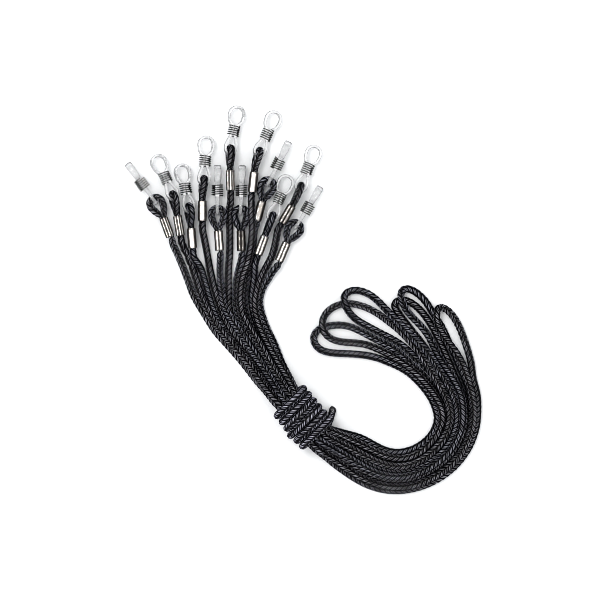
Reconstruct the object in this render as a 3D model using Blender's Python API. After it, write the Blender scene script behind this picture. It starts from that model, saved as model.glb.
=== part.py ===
"""Hank of six braided eyeglass retainer straps, tied once round the middle.

Each strap is one braided nylon cord. Each of its two ends is folded back into a small
eye and crimped in a metal ferrule. A clear silicone loop, pinched to a figure of eight
by a sliding coil, hangs in each eye: its rear lobe links round the eye, its front lobe
takes the tip of a spectacle arm.

The six straps are folded in half and lie flat, twelve ends fanned out at the rear left
(-X, +Y), six folded middles at the right (+X). A seventh, short cord is wound round them.
+Z is up, the hank rests on z = 0, and the origin is the centre of its footprint.
Dimensions are in millimetres; meshes are written in metres.
"""
import math

import bpy
import numpy as np

# ----------------------------------------------------------------- driving dimensions, mm
MM = 0.001
CORD_R = 1.45            # cord radius
CORD_PITCH = 3.22        # least distance between the centre lines of two cords that touch
CORD_SIDES = 6
CHORD_ERROR = 0.16       # how far a swept facet may lie inside the true bend
LONGEST_FACET = 14.0
STEP = 1.5               # spacing of the points that describe a cord while it settles
LAY_HEIGHT = 1.6         # starting height of a strand in the lowest row

EYE_LENGTH = 10.9        # ferrule mouth to the outside of the eye
EYE_HALF = 2.65          # eye centre line, half its width
BEND = 6.0               # the eye turns from the ferrule's heading over this length
BEND_STEPS = 20          # pieces used to find the end of the bend
PLACE_STEPS = 12         # pieces used to find a place within it
LEG_OFFSET = 0.79        # the two legs of the eye inside the ferrule, off its axis
LEG_HALF = 0.72          # pressed leg's section, half size in the eye's plane
LEG_WIDE = 1.36          # half size square to the eye's plane
TAIL_IN = 7.7            # how far the folded-back tail reaches into the ferrule
PRESS_FADE = 3.3         # the legs become round over this length from the mouth

FERRULE_LENGTH = 8.4
FERRULE_OUT = 1.88       # superellipse radius of the outside
FERRULE_WALL = 0.30
FERRULE_SIDES = 8
FERRULE_POWER = 5        # superellipse exponent: nearly square with blunt corners

BAND_THICK = 1.2         # silicone band
BAND_WIDE_REAR = 1.5     # where it passes through the eye
BAND_WIDE_TIP = 3.0
BAND_WIDE_NECK = 1.8     # greatest width near the coil
REAR_HALF = 2.3          # rear lobe, centre line, half its width
REAR_LOBE_END = 3.4      # where the rear lobe starts to narrow, from its rear
NECK_HALF = 1.05         # centre line of each band inside the coil
NECK_BEFORE = 2.8        # narrow part, either side of the middle of the coil
NECK_AFTER = 2.7
TIP_HALF = 3.05          # front lobe, centre line, half its width
REACH = 16.6             # outside of the eye to the tip of the front lobe
COIL_CENTRE = 6.0        # outside of the eye to the middle of the coil

COIL_R = 2.28            # coil, centre line radius
COIL_WIRE = 0.24         # wire radius
COIL_CORNER = COIL_WIRE * 1.25   # centre to corner of its square section
COIL_PITCH = 1.08
COIL_TURNS = 4.25
COIL_SIDES = 8           # straight pieces that make one turn

REAR_TO_FRONT = 2.6      # upright eye: rear band's centre to the centre of the eye's front
REAR_TO_FRONT_FLAT = 2.5 # the same in a flat eye
UPRIGHT_HEIGHT = 4.12    # axis height of an end whose eye stands upright
FLAT_HEIGHT = 3.56       # axis height of an end whose eye lies flat
DROOP = 3.0              # degrees that a connector droops from an upright eye
COIL_MID = REAR_TO_FRONT + CORD_R + COIL_CENTRE   # from the rear band's centre

# Where each end lies: ferrule mouth x, y; headings of the ferrule, of the eye's front and
# of the connector (degrees from +X); eye upright "F" or flat "E"; how far an upright eye
# and its connector lean over to the right of their heading (degrees).
ENDS = [
    (-57.3, 34.4, 110.0, 123.0, 126.0, "E", 0.0),
    (-51.5, 35.3, 99.5, 103.0, 114.0, "F", 16.0),
    (-45.7, 30.1, 94.5, 96.0, 101.0, "F", 18.0),
    (-41.0, 41.6, 90.0, 83.5, 86.5, "F", 12.0),
    (-34.3, 29.1, 94.0, 91.5, 90.0, "E", 0.0),
    (-29.3, 54.4, 91.0, 88.0, 79.5, "F", 14.0),
    (-24.8, 29.0, 91.5, 90.0, 88.0, "E", 0.0),
    (-19.2, 53.6, 84.0, 71.5, 67.0, "F", 11.0),
    (-15.9, 41.4, 75.0, 67.0, 64.0, "E", 0.0),
    (-14.7, 26.9, 70.0, 68.5, 68.5, "F", 4.0),
    (-3.4, 39.5, 60.0, 68.0, 69.0, "F", 4.0),
    (-5.6, 24.0, 67.0, 55.5, 58.5, "E", 0.0),
]
# Descent behind each ferrule: distance from it, share of the axis height kept.
DESCENT = ((6.0, 0.72), (10.0, 0.35), (15.0, 0.0))
SHORT_DESCENT = ((5.5, 0.8),)
SHORT_DESCENT_ENDS = (7, 8)
DESCENT_LENGTH = 15.0    # the strand turns towards its aim over this length

# Fan line, where the strands still lie side by side: y, and x of each strand.
FAN_Y = 8.0
FAN_X = [-46.4, -43.4, -40.4, -37.2, -34.0, -30.6, -27.4, -24.4, -22.0, -19.8, -17.6, -15.4]
FAN_ROW_RISE = 0.6
# Strands of the longer ends pass between or over the shorter ones on their way: x, y, z.
VIA = {1: [(-45.2, 18.0, 1.6)], 3: [(-38.7, 18.0, 1.6)], 5: [(-29.6, 18.0, 1.6)],
       7: [(-19.3, 38.0, 4.6), (-19.2, 30.0, 5.9), (-20.4, 23.0, 5.6), (-21.4, 17.0, 3.6)],
       8: [(-19.9, 23.5, 1.6), (-19.3, 17.0, 1.6)], 10: [(-11.2, 18.0, 1.6)]}

# Stations of the bundle before and after the knot: centre x, y, width across the twelve
# strands, rise off the table.
BEFORE = [(-28.0, -6.3, 24.0, 0.0), (-21.9, -16.0, 18.5, 0.0),
          (-14.3, -27.0, 14.5, 3.0 * (1.0 / 3.0) ** 1.5)]
AFTER = [(16.8, -61.7, 15.0, 3.0), (24.8, -67.0, 17.5, 1.0), (34.2, -72.0, 17.5, 0.0),
         (44.7, -72.7, 16.5, 0.0), (54.6, -68.7, 16.5, 0.0), (62.0, -62.2, 17.3, 0.0),
         (66.6, -52.7, 17.6, 0.0), (66.6, -44.7, 18.2, 0.0), (64.0, -37.4, 20.5, 0.0)]
BUNDLE_START = (-28.0, FAN_Y)    # the bundle's course just beyond its stations
BUNDLE_END = (58.0, -28.0)
BUNDLE_MARGIN = 3.0      # bundle width less the span of the centre lines
ROW_PACKING = 0.95       # row rise as a share of that of touching cords
ROWS = [1, 2, 0] * 4     # the row of each strand where the bundle is narrow

KNOT = (1.3, -49.0)
KNOT_HEADING = -50.0
KNOT_HALF = 10.4         # half the length of the winding
# Slots of the twelve strands inside the winding, nine round three: angle from the left
# side towards the top (degrees), radius.
RING, CORE = 4.75, 1.80
SLOTS = [(180, RING), (140, RING), (220, RING), (120, CORE), (100, RING), (260, RING),
         (240, CORE), (60, RING), (300, RING), (0, CORE), (20, RING), (340, RING)]

TIE_R = 8.00             # winding, centre line radius
TIE_TURNS = 6.0
TIE_PITCH = 3.30
TIE_TURN_POINTS = 26
TIE_SLACK = 1.1          # the winding stands off by up to this much on its right side,
TIE_SLACK_AT = 2.6       # most at this place along it,
TIE_SLACK_SPREAD = 2.8   # and fading over this length
KNOT_HEIGHT = TIE_R + CORD_R + 0.05
# Cut end of the tie: place past the end of the winding, to its left, up from its axis.
TIE_TAIL = [(0.3, 3.0, -TIE_R + 0.05), (0.1, 6.0, -7.2), (-1.4, 8.6, -6.0),
            (-3.2, 10.0, -4.6), (-4.8, 10.5, -3.0)]

# Folded middles, from the outer leg round to the inner leg: x, y, z.
LOOPS = [
    # strap 1
    ((46.2, -26.0, 1.6), (38.6, -20.2, 1.6), (32.6, -16.2, 1.6), (28.5, -13.3, 1.6),
     (23.9, -11.3, 1.6), (17.8, -9.9, 1.6), (11.7, -10.6, 1.6), (7.2, -11.6, 1.6),
     (4.9, -14.2, 1.6), (4.8, -17.5, 1.6), (8.2, -21.8, 1.6), (17.8, -22.5, 1.6),
     (28.0, -23.0, 1.6), (38.2, -25.6, 1.6), (44.3, -28.6, 1.6), (49.9, -33.7, 1.6)),
    # strap 2
    ((48.2, -20.5, 2.0), (43.3, -13.9, 1.6), (38.7, -9.3, 1.6), (32.6, -5.2, 1.6),
     (26.5, -2.2, 1.6), (20.4, -0.9, 1.6), (15.3, -1.6, 2.0), (11.2, -4.2, 3.6),
     (8.4, -8.8, 4.8), (8.4, -11.8, 4.8), (10.2, -15.4, 3.0), (14.2, -17.6, 1.6),
     (20.4, -17.9, 1.6), (27.0, -18.0, 1.6), (33.1, -20.2, 1.6), (41.0, -24.0, 1.6)),
    # strap 3
    ((54.0, -24.0, 3.0), (47.5, -15.5, 2.0), (42.5, -9.3, 1.6), (35.6, -3.7, 1.6),
     (32.6, 0.4, 1.6), (28.5, 3.4, 1.6), (23.9, 4.7, 1.6), (18.8, 3.9, 3.6),
     (17.0, 1.4, 4.6), (17.6, -1.1, 4.8), (19.9, -4.7, 4.0), (22.9, -8.8, 2.0),
     (27.5, -11.8, 1.6), (35.6, -15.9, 1.6), (43.3, -19.0, 1.6), (50.0, -23.8, 2.0)),
    # strap 4
    ((59.5, -20.5, 3.0), (55.4, -10.5, 2.0), (51.9, -5.2, 1.6), (48.4, -1.6, 1.6),
     (44.3, 0.6, 1.6), (40.7, 0.6, 1.6), (38.4, -1.1, 1.6), (38.9, -3.7, 1.6),
     (40.2, -6.7, 1.6), (43.3, -9.2, 1.6), (47.6, -14.3, 1.6), (53.0, -21.0, 2.0)),
    # strap 5
    ((63.3, -21.0, 3.0), (60.0, -12.0, 2.0), (56.0, -5.0, 1.8), (53.5, -0.6, 1.6),
     (49.9, 2.9, 1.6), (45.8, 5.5, 1.6), (42.8, 5.7, 3.0), (41.2, 2.9, 4.6),
     (41.7, -0.1, 4.8), (44.3, -4.2, 3.6), (47.8, -8.3, 2.0), (51.4, -10.8, 2.0),
     (55.5, -16.5, 2.0), (58.5, -22.5, 3.0)),
    # strap 6
    ((72.8, -28.1, 1.6), (70.8, -22.0, 1.6), (68.7, -15.4, 1.6), (66.7, -9.8, 1.6),
     (63.6, -5.2, 1.6), (60.1, -2.2, 1.6), (57.0, -2.2, 2.4), (56.3, -5.0, 4.0),
     (57.0, -9.8, 4.0), (59.6, -14.0, 4.0), (62.6, -18.4, 3.6), (66.2, -23.0, 3.0)),
]
# Strands of each strap, as indices into ENDS: the two legs its folded middle joins.
LANES = [(9, 11), (7, 10), (6, 8), (3, 5), (2, 4), (0, 1)]

# Principled BSDF inputs of each material.
MATERIALS = {
    "cord": {"Base Color": (0.018, 0.019, 0.026, 1.0), "Roughness": 0.62, "Metallic": 0.0},
    "metal": {"Base Color": (0.78, 0.78, 0.80, 1.0), "Roughness": 0.22, "Metallic": 1.0},
    "steel": {"Base Color": (0.62, 0.62, 0.64, 1.0), "Roughness": 0.26, "Metallic": 1.0},
    "silicone": {"Base Color": (0.86, 0.87, 0.88, 1.0), "Roughness": 0.18, "Metallic": 0.0,
                 "Transmission Weight": 0.85, "IOR": 1.41},
}
SHARP_ANGLE = math.radians(50)


# ------------------------------------------------------------------------------ small maths
def smooth(t):
    t = min(max(t, 0.0), 1.0)
    return t * t * (3.0 - 2.0 * t)


def unit(v):
    return v / max(float(np.linalg.norm(v)), 1e-12)


def lengths(vectors):
    return np.linalg.norm(vectors, axis=1)


def heading(degrees):
    angle = math.radians(degrees)
    return np.array([math.cos(angle), math.sin(angle), 0.0])


def left_of(direction):
    return np.array([-direction[1], direction[0], 0.0])


UP = np.array([0.0, 0.0, 1.0])
KNOT_AXIS = heading(KNOT_HEADING)
KNOT_LEFT = left_of(KNOT_AXIS)
KNOT_FOOT = np.array([*KNOT, 0.0])


def arc_length(line):
    return np.concatenate([[0.0], np.cumsum(lengths(np.diff(line, axis=0)))])


def resample(line, step):
    """Evenly spaced points along a polyline."""
    place = arc_length(line)
    count = max(int(round(place[-1] / step)), 2)
    wanted = np.linspace(0.0, place[-1], count + 1)
    return np.stack([np.interp(wanted, place, line[:, axis]) for axis in range(3)], axis=1)


def between(t, start, end, value_a, value_b):
    """Linear blend from value_a at start to value_b at end."""
    return (end - t) / (end - start) * value_a + (t - start) / (end - start) * value_b


def through(points, step=0.4):
    """Smooth curve through the control points (centripetal Catmull-Rom)."""
    p = np.asarray(points, float)
    p = np.vstack([2 * p[0] - p[1], p, 2 * p[-1] - p[-2]])
    pieces = []
    for i in range(1, len(p) - 2):
        p0, p1, p2, p3 = p[i - 1:i + 3]
        t0 = 0.0
        t1 = t0 + max(np.linalg.norm(p1 - p0), 1e-6) ** 0.5
        t2 = t1 + max(np.linalg.norm(p2 - p1), 1e-6) ** 0.5
        t3 = t2 + max(np.linalg.norm(p3 - p2), 1e-6) ** 0.5
        count = max(int(np.linalg.norm(p2 - p1) / step), 2)
        t = np.linspace(t1, t2, count, endpoint=False)[:, None]
        near = between(t, t0, t1, p0, p1)
        middle = between(t, t1, t2, p1, p2)
        far = between(t, t2, t3, p2, p3)
        first = between(t, t0, t2, near, middle)
        second = between(t, t1, t3, middle, far)
        pieces.append(between(t, t1, t2, first, second))
    pieces.append(p[-2][None])
    return np.vstack(pieces)


def tangents(line):
    t = np.zeros_like(line)
    t[1:-1] = line[2:] - line[:-2]
    t[0] = line[1] - line[0]
    t[-1] = line[-1] - line[-2]
    return t / lengths(t)[:, None]


# ------------------------------------------------------------------------ one end's own frame
class End:
    """One strap end: places are given along its axis out of the ferrule, left and up."""

    def __init__(self, x, y, ferrule_heading, eye_heading, connector_heading, kind, lean):
        self.x = x
        self.y = y
        self.ferrule_heading = ferrule_heading
        self.eye_heading = eye_heading
        self.flat = kind == "E"
        self.lean = math.radians(lean)
        self.height = FLAT_HEIGHT if self.flat else UPRIGHT_HEIGHT
        self.mouth = np.array([x, y, self.height])
        self.turn = math.radians(eye_heading - ferrule_heading)
        self.bend_end = self.find_bend_end()
        self.set_connector_frame(connector_heading)

    def find_bend_end(self):
        half_turn = self.turn / (2 * BEND_STEPS)
        point = self.mouth.copy()
        angle = math.radians(self.ferrule_heading)
        for i in range(BEND_STEPS):
            angle += half_turn
            forward = np.array([math.cos(angle), math.sin(angle), 0.0])
            point = point + forward * BEND / BEND_STEPS
            angle += half_turn
        return point

    def set_connector_frame(self, connector_heading):
        """Axes of the connector: along, across its loop's plane and sideways in that
        plane; and its origin, the centre of its rear band."""
        forward = heading(connector_heading)
        left = left_of(forward)
        front = self.place(EYE_LENGTH - CORD_R, 0, 0)
        if self.flat:
            self.along, self.across, self.side = forward, left, UP
            self.rear = front - forward * REAR_TO_FRONT_FLAT
            return
        droop = math.radians(DROOP)
        up = UP * math.cos(droop) + forward * math.sin(droop)
        cos_lean, sin_lean = math.cos(self.lean), math.sin(self.lean)
        self.along = forward * math.cos(droop) - UP * math.sin(droop)
        self.across = up * cos_lean - left * sin_lean
        self.side = left * cos_lean + up * sin_lean
        self.rear = front - forward * REAR_TO_FRONT

    def place(self, x, side, up):
        """World point of a place x along the axis, side to its left, up above it."""
        if x <= 0.0:
            forward = heading(self.ferrule_heading)
            centre = self.mouth + forward * x
        elif x >= BEND:
            forward = heading(self.eye_heading)
            centre = self.bend_end + forward * (x - BEND)
        else:
            start = math.radians(self.ferrule_heading)
            centre = self.mouth.copy()
            for i in range(PLACE_STEPS):
                angle = start + self.turn * (i + 0.5) / PLACE_STEPS * x / BEND
                step = np.array([math.cos(angle), math.sin(angle), 0.0])
                centre = centre + step * x / PLACE_STEPS
            angle = start + self.turn * x / BEND
            forward = np.array([math.cos(angle), math.sin(angle), 0.0])
        lean = self.lean * smooth(x / BEND)
        cos_lean, sin_lean = math.cos(lean), math.sin(lean)
        return (centre + left_of(forward) * (side * cos_lean - up * sin_lean)
                + UP * (side * sin_lean + up * cos_lean))

    def in_eye(self, x, off):
        """A point of the eye's plane: flat eyes open sideways, upright ones upwards."""
        return self.place(x, off, 0.0) if self.flat else self.place(x, 0.0, off)

    def eye_normal(self, x):
        return UP if self.flat else self.place(x, 1.0, 0.0) - self.place(x, 0.0, 0.0)


ALL_ENDS = [End(*row) for row in ENDS]


def eye_path(end):
    """Centre line from the tail's cut end round the eye and back out of the ferrule:
    points and, for each, how far the section is pressed (0 round, 1 pressed) and the
    direction square to the eye's plane."""
    bow_centre = EYE_LENGTH - EYE_HALF - CORD_R
    leg_x = np.array([0.0, 1.3, 2.7, 4.6, bow_centre])

    def leg(x):
        return LEG_OFFSET + (EYE_HALF - LEG_OFFSET) * smooth(x / bow_centre)

    # (place along the axis, offset in the eye's plane, press)
    path = [(x, LEG_OFFSET, 1.0) for x in (-TAIL_IN, -0.3)]
    path += [(x, leg(x), 1.0 - smooth(x / PRESS_FADE)) for x in leg_x]
    for degrees in np.linspace(90, -90, 9)[1:-1]:
        angle = math.radians(degrees)
        path.append((bow_centre + EYE_HALF * math.cos(angle), EYE_HALF * math.sin(angle), 0.0))
    path += [(x, -leg(x), 1.0 - smooth(x / PRESS_FADE)) for x in leg_x[::-1]]
    path += [(x, -LEG_OFFSET, 1.0) for x in (-0.3, -FERRULE_LENGTH + 0.9)]
    # the standing leg comes back to the ferrule's axis as it leaves it
    for beyond in (0.2, 1.6, 3.2):
        x = -FERRULE_LENGTH - beyond
        centred = smooth((-FERRULE_LENGTH + 0.9 - x) / 4.1)
        press = 1.0 - smooth((-FERRULE_LENGTH + 0.5 - x) / 2.4)
        path.append((x, -LEG_OFFSET * (1 - centred), press))
    points = np.array([end.in_eye(x, off) for x, off, press in path])
    presses = np.array([press for x, off, press in path])
    normals = np.array([end.eye_normal(x) for x, off, press in path])
    return points, presses, normals


# -------------------------------------------------------------------- strands in the bundle
def descent_points(k):
    """Control points of strand k out of its ferrule and down on to the table."""
    end = ALL_ENDS[k]
    aim = VIA[k][0] if k in VIA else (FAN_X[k], FAN_Y)
    aim_direction = unit(np.array([aim[0] - end.x, aim[1] - end.y, 0.0]))
    points = []
    for distance, kept in SHORT_DESCENT if k in SHORT_DESCENT_ENDS else DESCENT:
        straight = end.mouth - heading(end.ferrule_heading) * (FERRULE_LENGTH + distance)
        aimed = end.mouth + aim_direction * (FERRULE_LENGTH + distance)
        if aimed[1] < FAN_Y + 4.0:
            break
        weight = smooth(distance / DESCENT_LENGTH)
        x = straight[0] * (1 - weight) + aimed[0] * weight
        y = straight[1] * (1 - weight) + aimed[1] * weight
        points.append((x, y, LAY_HEIGHT + (end.height - LAY_HEIGHT) * kept))
    return points


def station_points(k, stations, start, finish):
    """Points of strand k at the bundle's stations, which lie between start and finish."""
    centres = [np.array([x, y, 0.0]) for x, y, width, rise in stations]
    chain = [start] + centres + [finish]
    points = []
    for i, (_, _, width, rise) in enumerate(stations):
        left = left_of(unit(chain[i + 2] - chain[i]))
        spacing = (width - BUNDLE_MARGIN) / 11
        row_height = math.sqrt(max(CORD_PITCH ** 2 - spacing ** 2, 0.0))
        x, y, _ = centres[i] + left * ((k - 5.5) * spacing)
        points.append((x, y, LAY_HEIGHT + ROWS[k] * row_height * ROW_PACKING + rise))
    return points


def knot_points(k):
    """Points of strand k in its slot inside the winding."""
    degrees, radius = SLOTS[k]
    angle = math.radians(degrees)
    offset = (KNOT_LEFT * radius * math.cos(angle)
              + UP * (KNOT_HEIGHT + radius * math.sin(angle)))
    return [tuple(KNOT_FOOT + KNOT_AXIS * along + offset)
            for along in np.linspace(-KNOT_HALF - 1.0, KNOT_HALF + 1.0, 5)]


def lane_points(k):
    """Control points of strand k from its ferrule to the end of the bundle."""
    return (descent_points(k) + VIA.get(k, [])
            + [(FAN_X[k], FAN_Y, LAY_HEIGHT + FAN_ROW_RISE * ROWS[k])]
            + station_points(k, BEFORE, np.array([*BUNDLE_START, 0.0]), KNOT_FOOT)
            + knot_points(k)
            + station_points(k, AFTER, KNOT_FOOT + KNOT_AXIS * KNOT_HALF,
                             np.array([*BUNDLE_END, 0.0])))


def tie_path():
    """The winding, a close helix round the bundle, and its cut end beside it on the left
    of its heading; also the number of points in the helix."""
    centre = np.array([*KNOT, KNOT_HEIGHT])
    start_angle = math.radians(-90.0) - 2 * math.pi * TIE_TURNS
    count = int(TIE_TURNS * TIE_TURN_POINTS)
    length = TIE_TURNS * TIE_PITCH
    points = []
    for i in range(count + 1):
        t = i / count
        angle = start_angle + 2 * math.pi * TIE_TURNS * t
        along = -length / 2 + length * t
        wide = TIE_R
        if math.cos(angle) < 0:
            wide += TIE_SLACK * math.exp(-((along - TIE_SLACK_AT) / TIE_SLACK_SPREAD) ** 2)
        points.append(centre + KNOT_AXIS * along + KNOT_LEFT * wide * math.cos(angle)
                      + UP * TIE_R * math.sin(angle))
    for past, left, up in TIE_TAIL:
        points.append(centre + KNOT_AXIS * (length / 2 + past) + KNOT_LEFT * left + UP * up)
    return np.array(points), count + 1


# ---------------------------------------------------------------- settling the cords together
SETTLE_ROUNDS = 520
FINAL_ROUNDS = 90        # last rounds: no sinking, no pull home, gentler smoothing
SEARCH_EVERY = 8         # rounds between searches for neighbours
SEARCH_BLOCK = 400       # points searched at once
CORD_SEARCH = 1.6        # search distances beyond touching, mm
OBSTACLE_SEARCH = 1.0
OWN_NEIGHBOURS = 6       # points this near along the same cord never push each other
SINK = 0.05              # mm a round
PULL_HOME = 0.07         # shares of each error that are put right in one go
SMOOTH_NEAR = 0.22
SMOOTH_FAR = 0.06
SMOOTH_FINAL = 0.12
FINAL_SMOOTH_EVERY = 3
KEEP_LENGTH = 0.35
PUSH_CORD = 0.5
PUSH_OBSTACLE = 0.6
FLOOR = CORD_R + 0.06    # least height of a free point


def near_cords(points, cord, index, fixed):
    """Pairs of points on cords that could touch."""
    pairs = []
    for start in range(0, len(points), SEARCH_BLOCK):
        block = points[start:start + SEARCH_BLOCK, None, :]
        square = ((block - points[None, :, :]) ** 2).sum(2)
        i, j = np.where(square < (CORD_PITCH + CORD_SEARCH) ** 2)
        i = i + start
        same = (cord[i] == cord[j]) & (np.abs(index[i] - index[j]) < OWN_NEIGHBOURS)
        keep = (j > i) & ~same & ~(fixed[i] & fixed[j])
        pairs.append(np.stack([i[keep], j[keep]], 1))
    return np.vstack(pairs)


def near_obstacles(points, fixed, obstacle, clearance):
    """Free points and the obstacle points near them."""
    square = ((points[:, None, :] - obstacle[None, :, :]) ** 2).sum(2)
    i, j = np.where(square < (clearance[None, :] + OBSTACLE_SEARCH) ** 2)
    keep = ~fixed[i]
    return i[keep], j[keep]


def hold_lengths(points, free, first, rest):
    """Brings the segments that begin at the points first back towards length rest."""
    along = points[first + 1] - points[first]
    length = lengths(along)
    weight = free[first] + free[first + 1]
    share = (length - rest) / np.maximum(length, 1e-9) * KEEP_LENGTH / np.maximum(weight, 1.0)
    move = share[:, None] * along
    np.add.at(points, first, move * free[first, None])
    np.add.at(points, first + 1, -move * free[first + 1, None])


def push_cords(points, free, pairs):
    i, j = pairs[:, 0], pairs[:, 1]
    apart = points[i] - points[j]
    distance = lengths(apart)
    overlap = CORD_PITCH - distance
    hit = overlap > 0
    i, j, apart, distance, overlap = i[hit], j[hit], apart[hit], distance[hit], overlap[hit]
    weight = np.maximum(free[i] + free[j], 1.0)
    direction = apart / np.maximum(distance, 1e-6)[:, None]
    move = direction * (overlap / weight * PUSH_CORD)[:, None]
    np.add.at(points, i, move * free[i, None])
    np.add.at(points, j, -move * free[j, None])


def push_off_obstacles(points, i, j, obstacle, clearance):
    apart = points[i] - obstacle[j]
    distance = lengths(apart)
    overlap = clearance[j] - distance
    hit = overlap > 0
    direction = apart[hit] / np.maximum(distance[hit], 1e-6)[:, None]
    np.add.at(points, i[hit], direction * (overlap[hit] * PUSH_OBSTACLE)[:, None])


def settle(home, cord, index, fixed, obstacle, clearance):
    """Moves the free points until cords that touch lie CORD_PITCH apart, the floor is
    respected and each cord stays smooth. Cords keep their clearance from the obstacle
    points. cord and index number each point's cord and its place in it."""
    points = home.copy()
    n = len(points)
    free = (~fixed).astype(float)
    first = np.where(cord[1:] == cord[:-1])[0]
    rest = lengths(points[first + 1] - points[first])
    inner = np.array([i for i in range(2, n - 2) if cord[i - 2] == cord[i + 2]])
    for turn in range(SETTLE_ROUNDS):
        if turn % SEARCH_EVERY == 0:
            pairs = near_cords(points, cord, index, fixed)
            near, near_obstacle = near_obstacles(points, fixed, obstacle, clearance)
        if turn <= SETTLE_ROUNDS - FINAL_ROUNDS:
            points[:, 2] -= SINK * free
            points[:, :2] += (home[:, :2] - points[:, :2]) * PULL_HOME * free[:, None]
            mid = (points[inner - 1] + points[inner + 1]) * 0.5
            wide = (points[inner - 2] + points[inner + 2]) * 0.5
            points[inner] += ((mid - points[inner]) * SMOOTH_NEAR
                              + (wide - points[inner]) * SMOOTH_FAR) * free[inner, None]
        elif turn % FINAL_SMOOTH_EVERY == 0:
            mid = (points[inner - 1] + points[inner + 1]) * 0.5
            points[inner] += (mid - points[inner]) * SMOOTH_FINAL * free[inner, None]
        hold_lengths(points, free, first, rest)
        for repeat in range(2):
            push_cords(points, free, pairs)
            push_off_obstacles(points, near, near_obstacle, obstacle, clearance)
            points[(points[:, 2] < FLOOR) & ~fixed, 2] = FLOOR
    return points


def obstacles():
    """Points of ferrules, eyes and connectors, and the clearance cords keep from them."""
    points, clearance = [], []
    for end in ALL_ENDS:
        for x in np.arange(-FERRULE_LENGTH + 0.6, 0.0, 1.2):
            points.append(end.place(x, 0, 0))
            clearance.append(FERRULE_OUT + CORD_R + 0.45)
        for point in resample(eye_path(end)[0][4:-6], 1.0):
            points.append(point)
            clearance.append(CORD_PITCH)
        for x in np.arange(0.0, REACH + 4.0, 1.2):
            wide = 2.2 if x < 10.0 else 3.0
            for sideways in (-wide, 0.0, wide):
                points.append(end.rear + end.along * x + end.side * sideways)
                clearance.append(CORD_R + 1.75)
    return np.array(points), np.array(clearance)


def strap_middle(strap, start, finish):
    """Unsettled line of a strap between its two eye paths, and which points are fixed."""
    lane_a, lane_b = LANES[strap]
    body = through([start[-2], start[-1]] + lane_points(lane_a) + list(LOOPS[strap])
                   + lane_points(lane_b)[::-1] + [finish[-1], finish[-2]])
    # keep only what lies between the two eye paths' own last points
    first = int(np.argmin(((body - start[-1]) ** 2).sum(1)[:60]))
    last = len(body) - 60 + int(np.argmin(((body - finish[-1]) ** 2).sum(1)[-60:]))
    line = resample(body[first:last + 1], STEP)
    along = (line - KNOT_FOOT) @ KNOT_AXIS
    from_knot = lengths(line[:, :2] - np.array(KNOT))
    fixed = (np.abs(along) < KNOT_HALF + 0.4) & (from_knot < KNOT_HALF + 7.0)
    fixed[:2] = True
    fixed[-2:] = True
    return line, fixed


def tie_line():
    """Unsettled line of the tie; all but its cut end is fixed."""
    control, helix_count = tie_path()
    line = resample(through(control, 0.5), STEP)
    helix_length = arc_length(through(control[:helix_count], 0.5))[-1]
    return line, arc_length(line) < helix_length - 1.0


def settled_lines(eyes):
    """Settled middles of the six straps, then the settled tie."""
    cords = [strap_middle(strap, eye_a[0], eye_b[0])
             for strap, (eye_a, eye_b) in enumerate(eyes)]
    cords.append(tie_line())
    home = np.vstack([line for line, fixed in cords])
    fixed = np.concatenate([fixed for line, fixed in cords])
    counts = [len(line) for line, fixed in cords]
    cord = np.repeat(np.arange(len(cords)), counts)
    index = np.concatenate([np.arange(count) for count in counts])
    points = settle(home, cord, index, fixed, *obstacles())
    return [points[cord == c] for c in range(len(cords))]


# ---------------------------------------------------------------------------- sweeping sections
PLAIN_LENGTH = 40.0      # length next to each eye path where no left-over turn is spread


def binormals(line, normal, first, last):
    """Binormals of a line. Up to point first and from point last they are the given
    normals; between them they are carried along without twist, and the turn left over is
    spread along the strand. If last is past the end, nothing is left over."""
    t = tangents(line)
    b = normal - t * (normal * t).sum(1)[:, None]
    b /= lengths(b)[:, None]
    stop = min(last, len(line) - 1)
    wanted = b[stop].copy()
    for i in range(first + 1, stop + 1):
        # the smallest rotation that takes one tangent to the next
        axis = np.cross(t[i - 1], t[i])
        cosine = float(t[i - 1] @ t[i])
        v = b[i - 1]
        v = v + np.cross(axis, v) + np.cross(axis, np.cross(axis, v)) / (1.0 + cosine)
        b[i] = unit(v - t[i] * (v @ t[i]))
    if last < len(line):
        angle = math.atan2(wanted @ np.cross(t[last], b[last]), wanted @ b[last])
        if abs(angle) > math.pi / 2:
            # the section is symmetric, so half a turn can be left out
            angle -= math.copysign(math.pi, angle)
            b[last + 1:] *= -1.0
        s = arc_length(line)
        part = slice(first, last + 1)
        spread = (s[part] - s[first] - PLAIN_LENGTH) / (s[last] - s[first] - 2 * PLAIN_LENGTH)
        share = np.clip(spread, 0.0, 1.0)[:, None]
        side = np.cross(t[part], b[part])
        b[part] = b[part] * np.cos(angle * share) + side * np.sin(angle * share)
    return b


def thin_out(line, keep):
    """Indices of the points left when those where the line is nearly straight are
    dropped; points marked in keep stay."""
    s = arc_length(line)
    n = len(line)
    picked = [0]
    i = 0
    while i < n - 1:
        j = i + 1
        if not keep[i]:
            while j + 1 < n and not keep[j]:
                # distance of the points between from the chord i..j+1
                chord = unit(line[j + 1] - line[i])
                offset = line[i + 1:j + 1] - line[i]
                error = lengths(offset - np.outer(offset @ chord, chord)).max()
                if error > CHORD_ERROR or s[j + 1] - s[i] > LONGEST_FACET:
                    break
                j += 1
        picked.append(j)
        i = j
    return np.array(picked)


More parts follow.
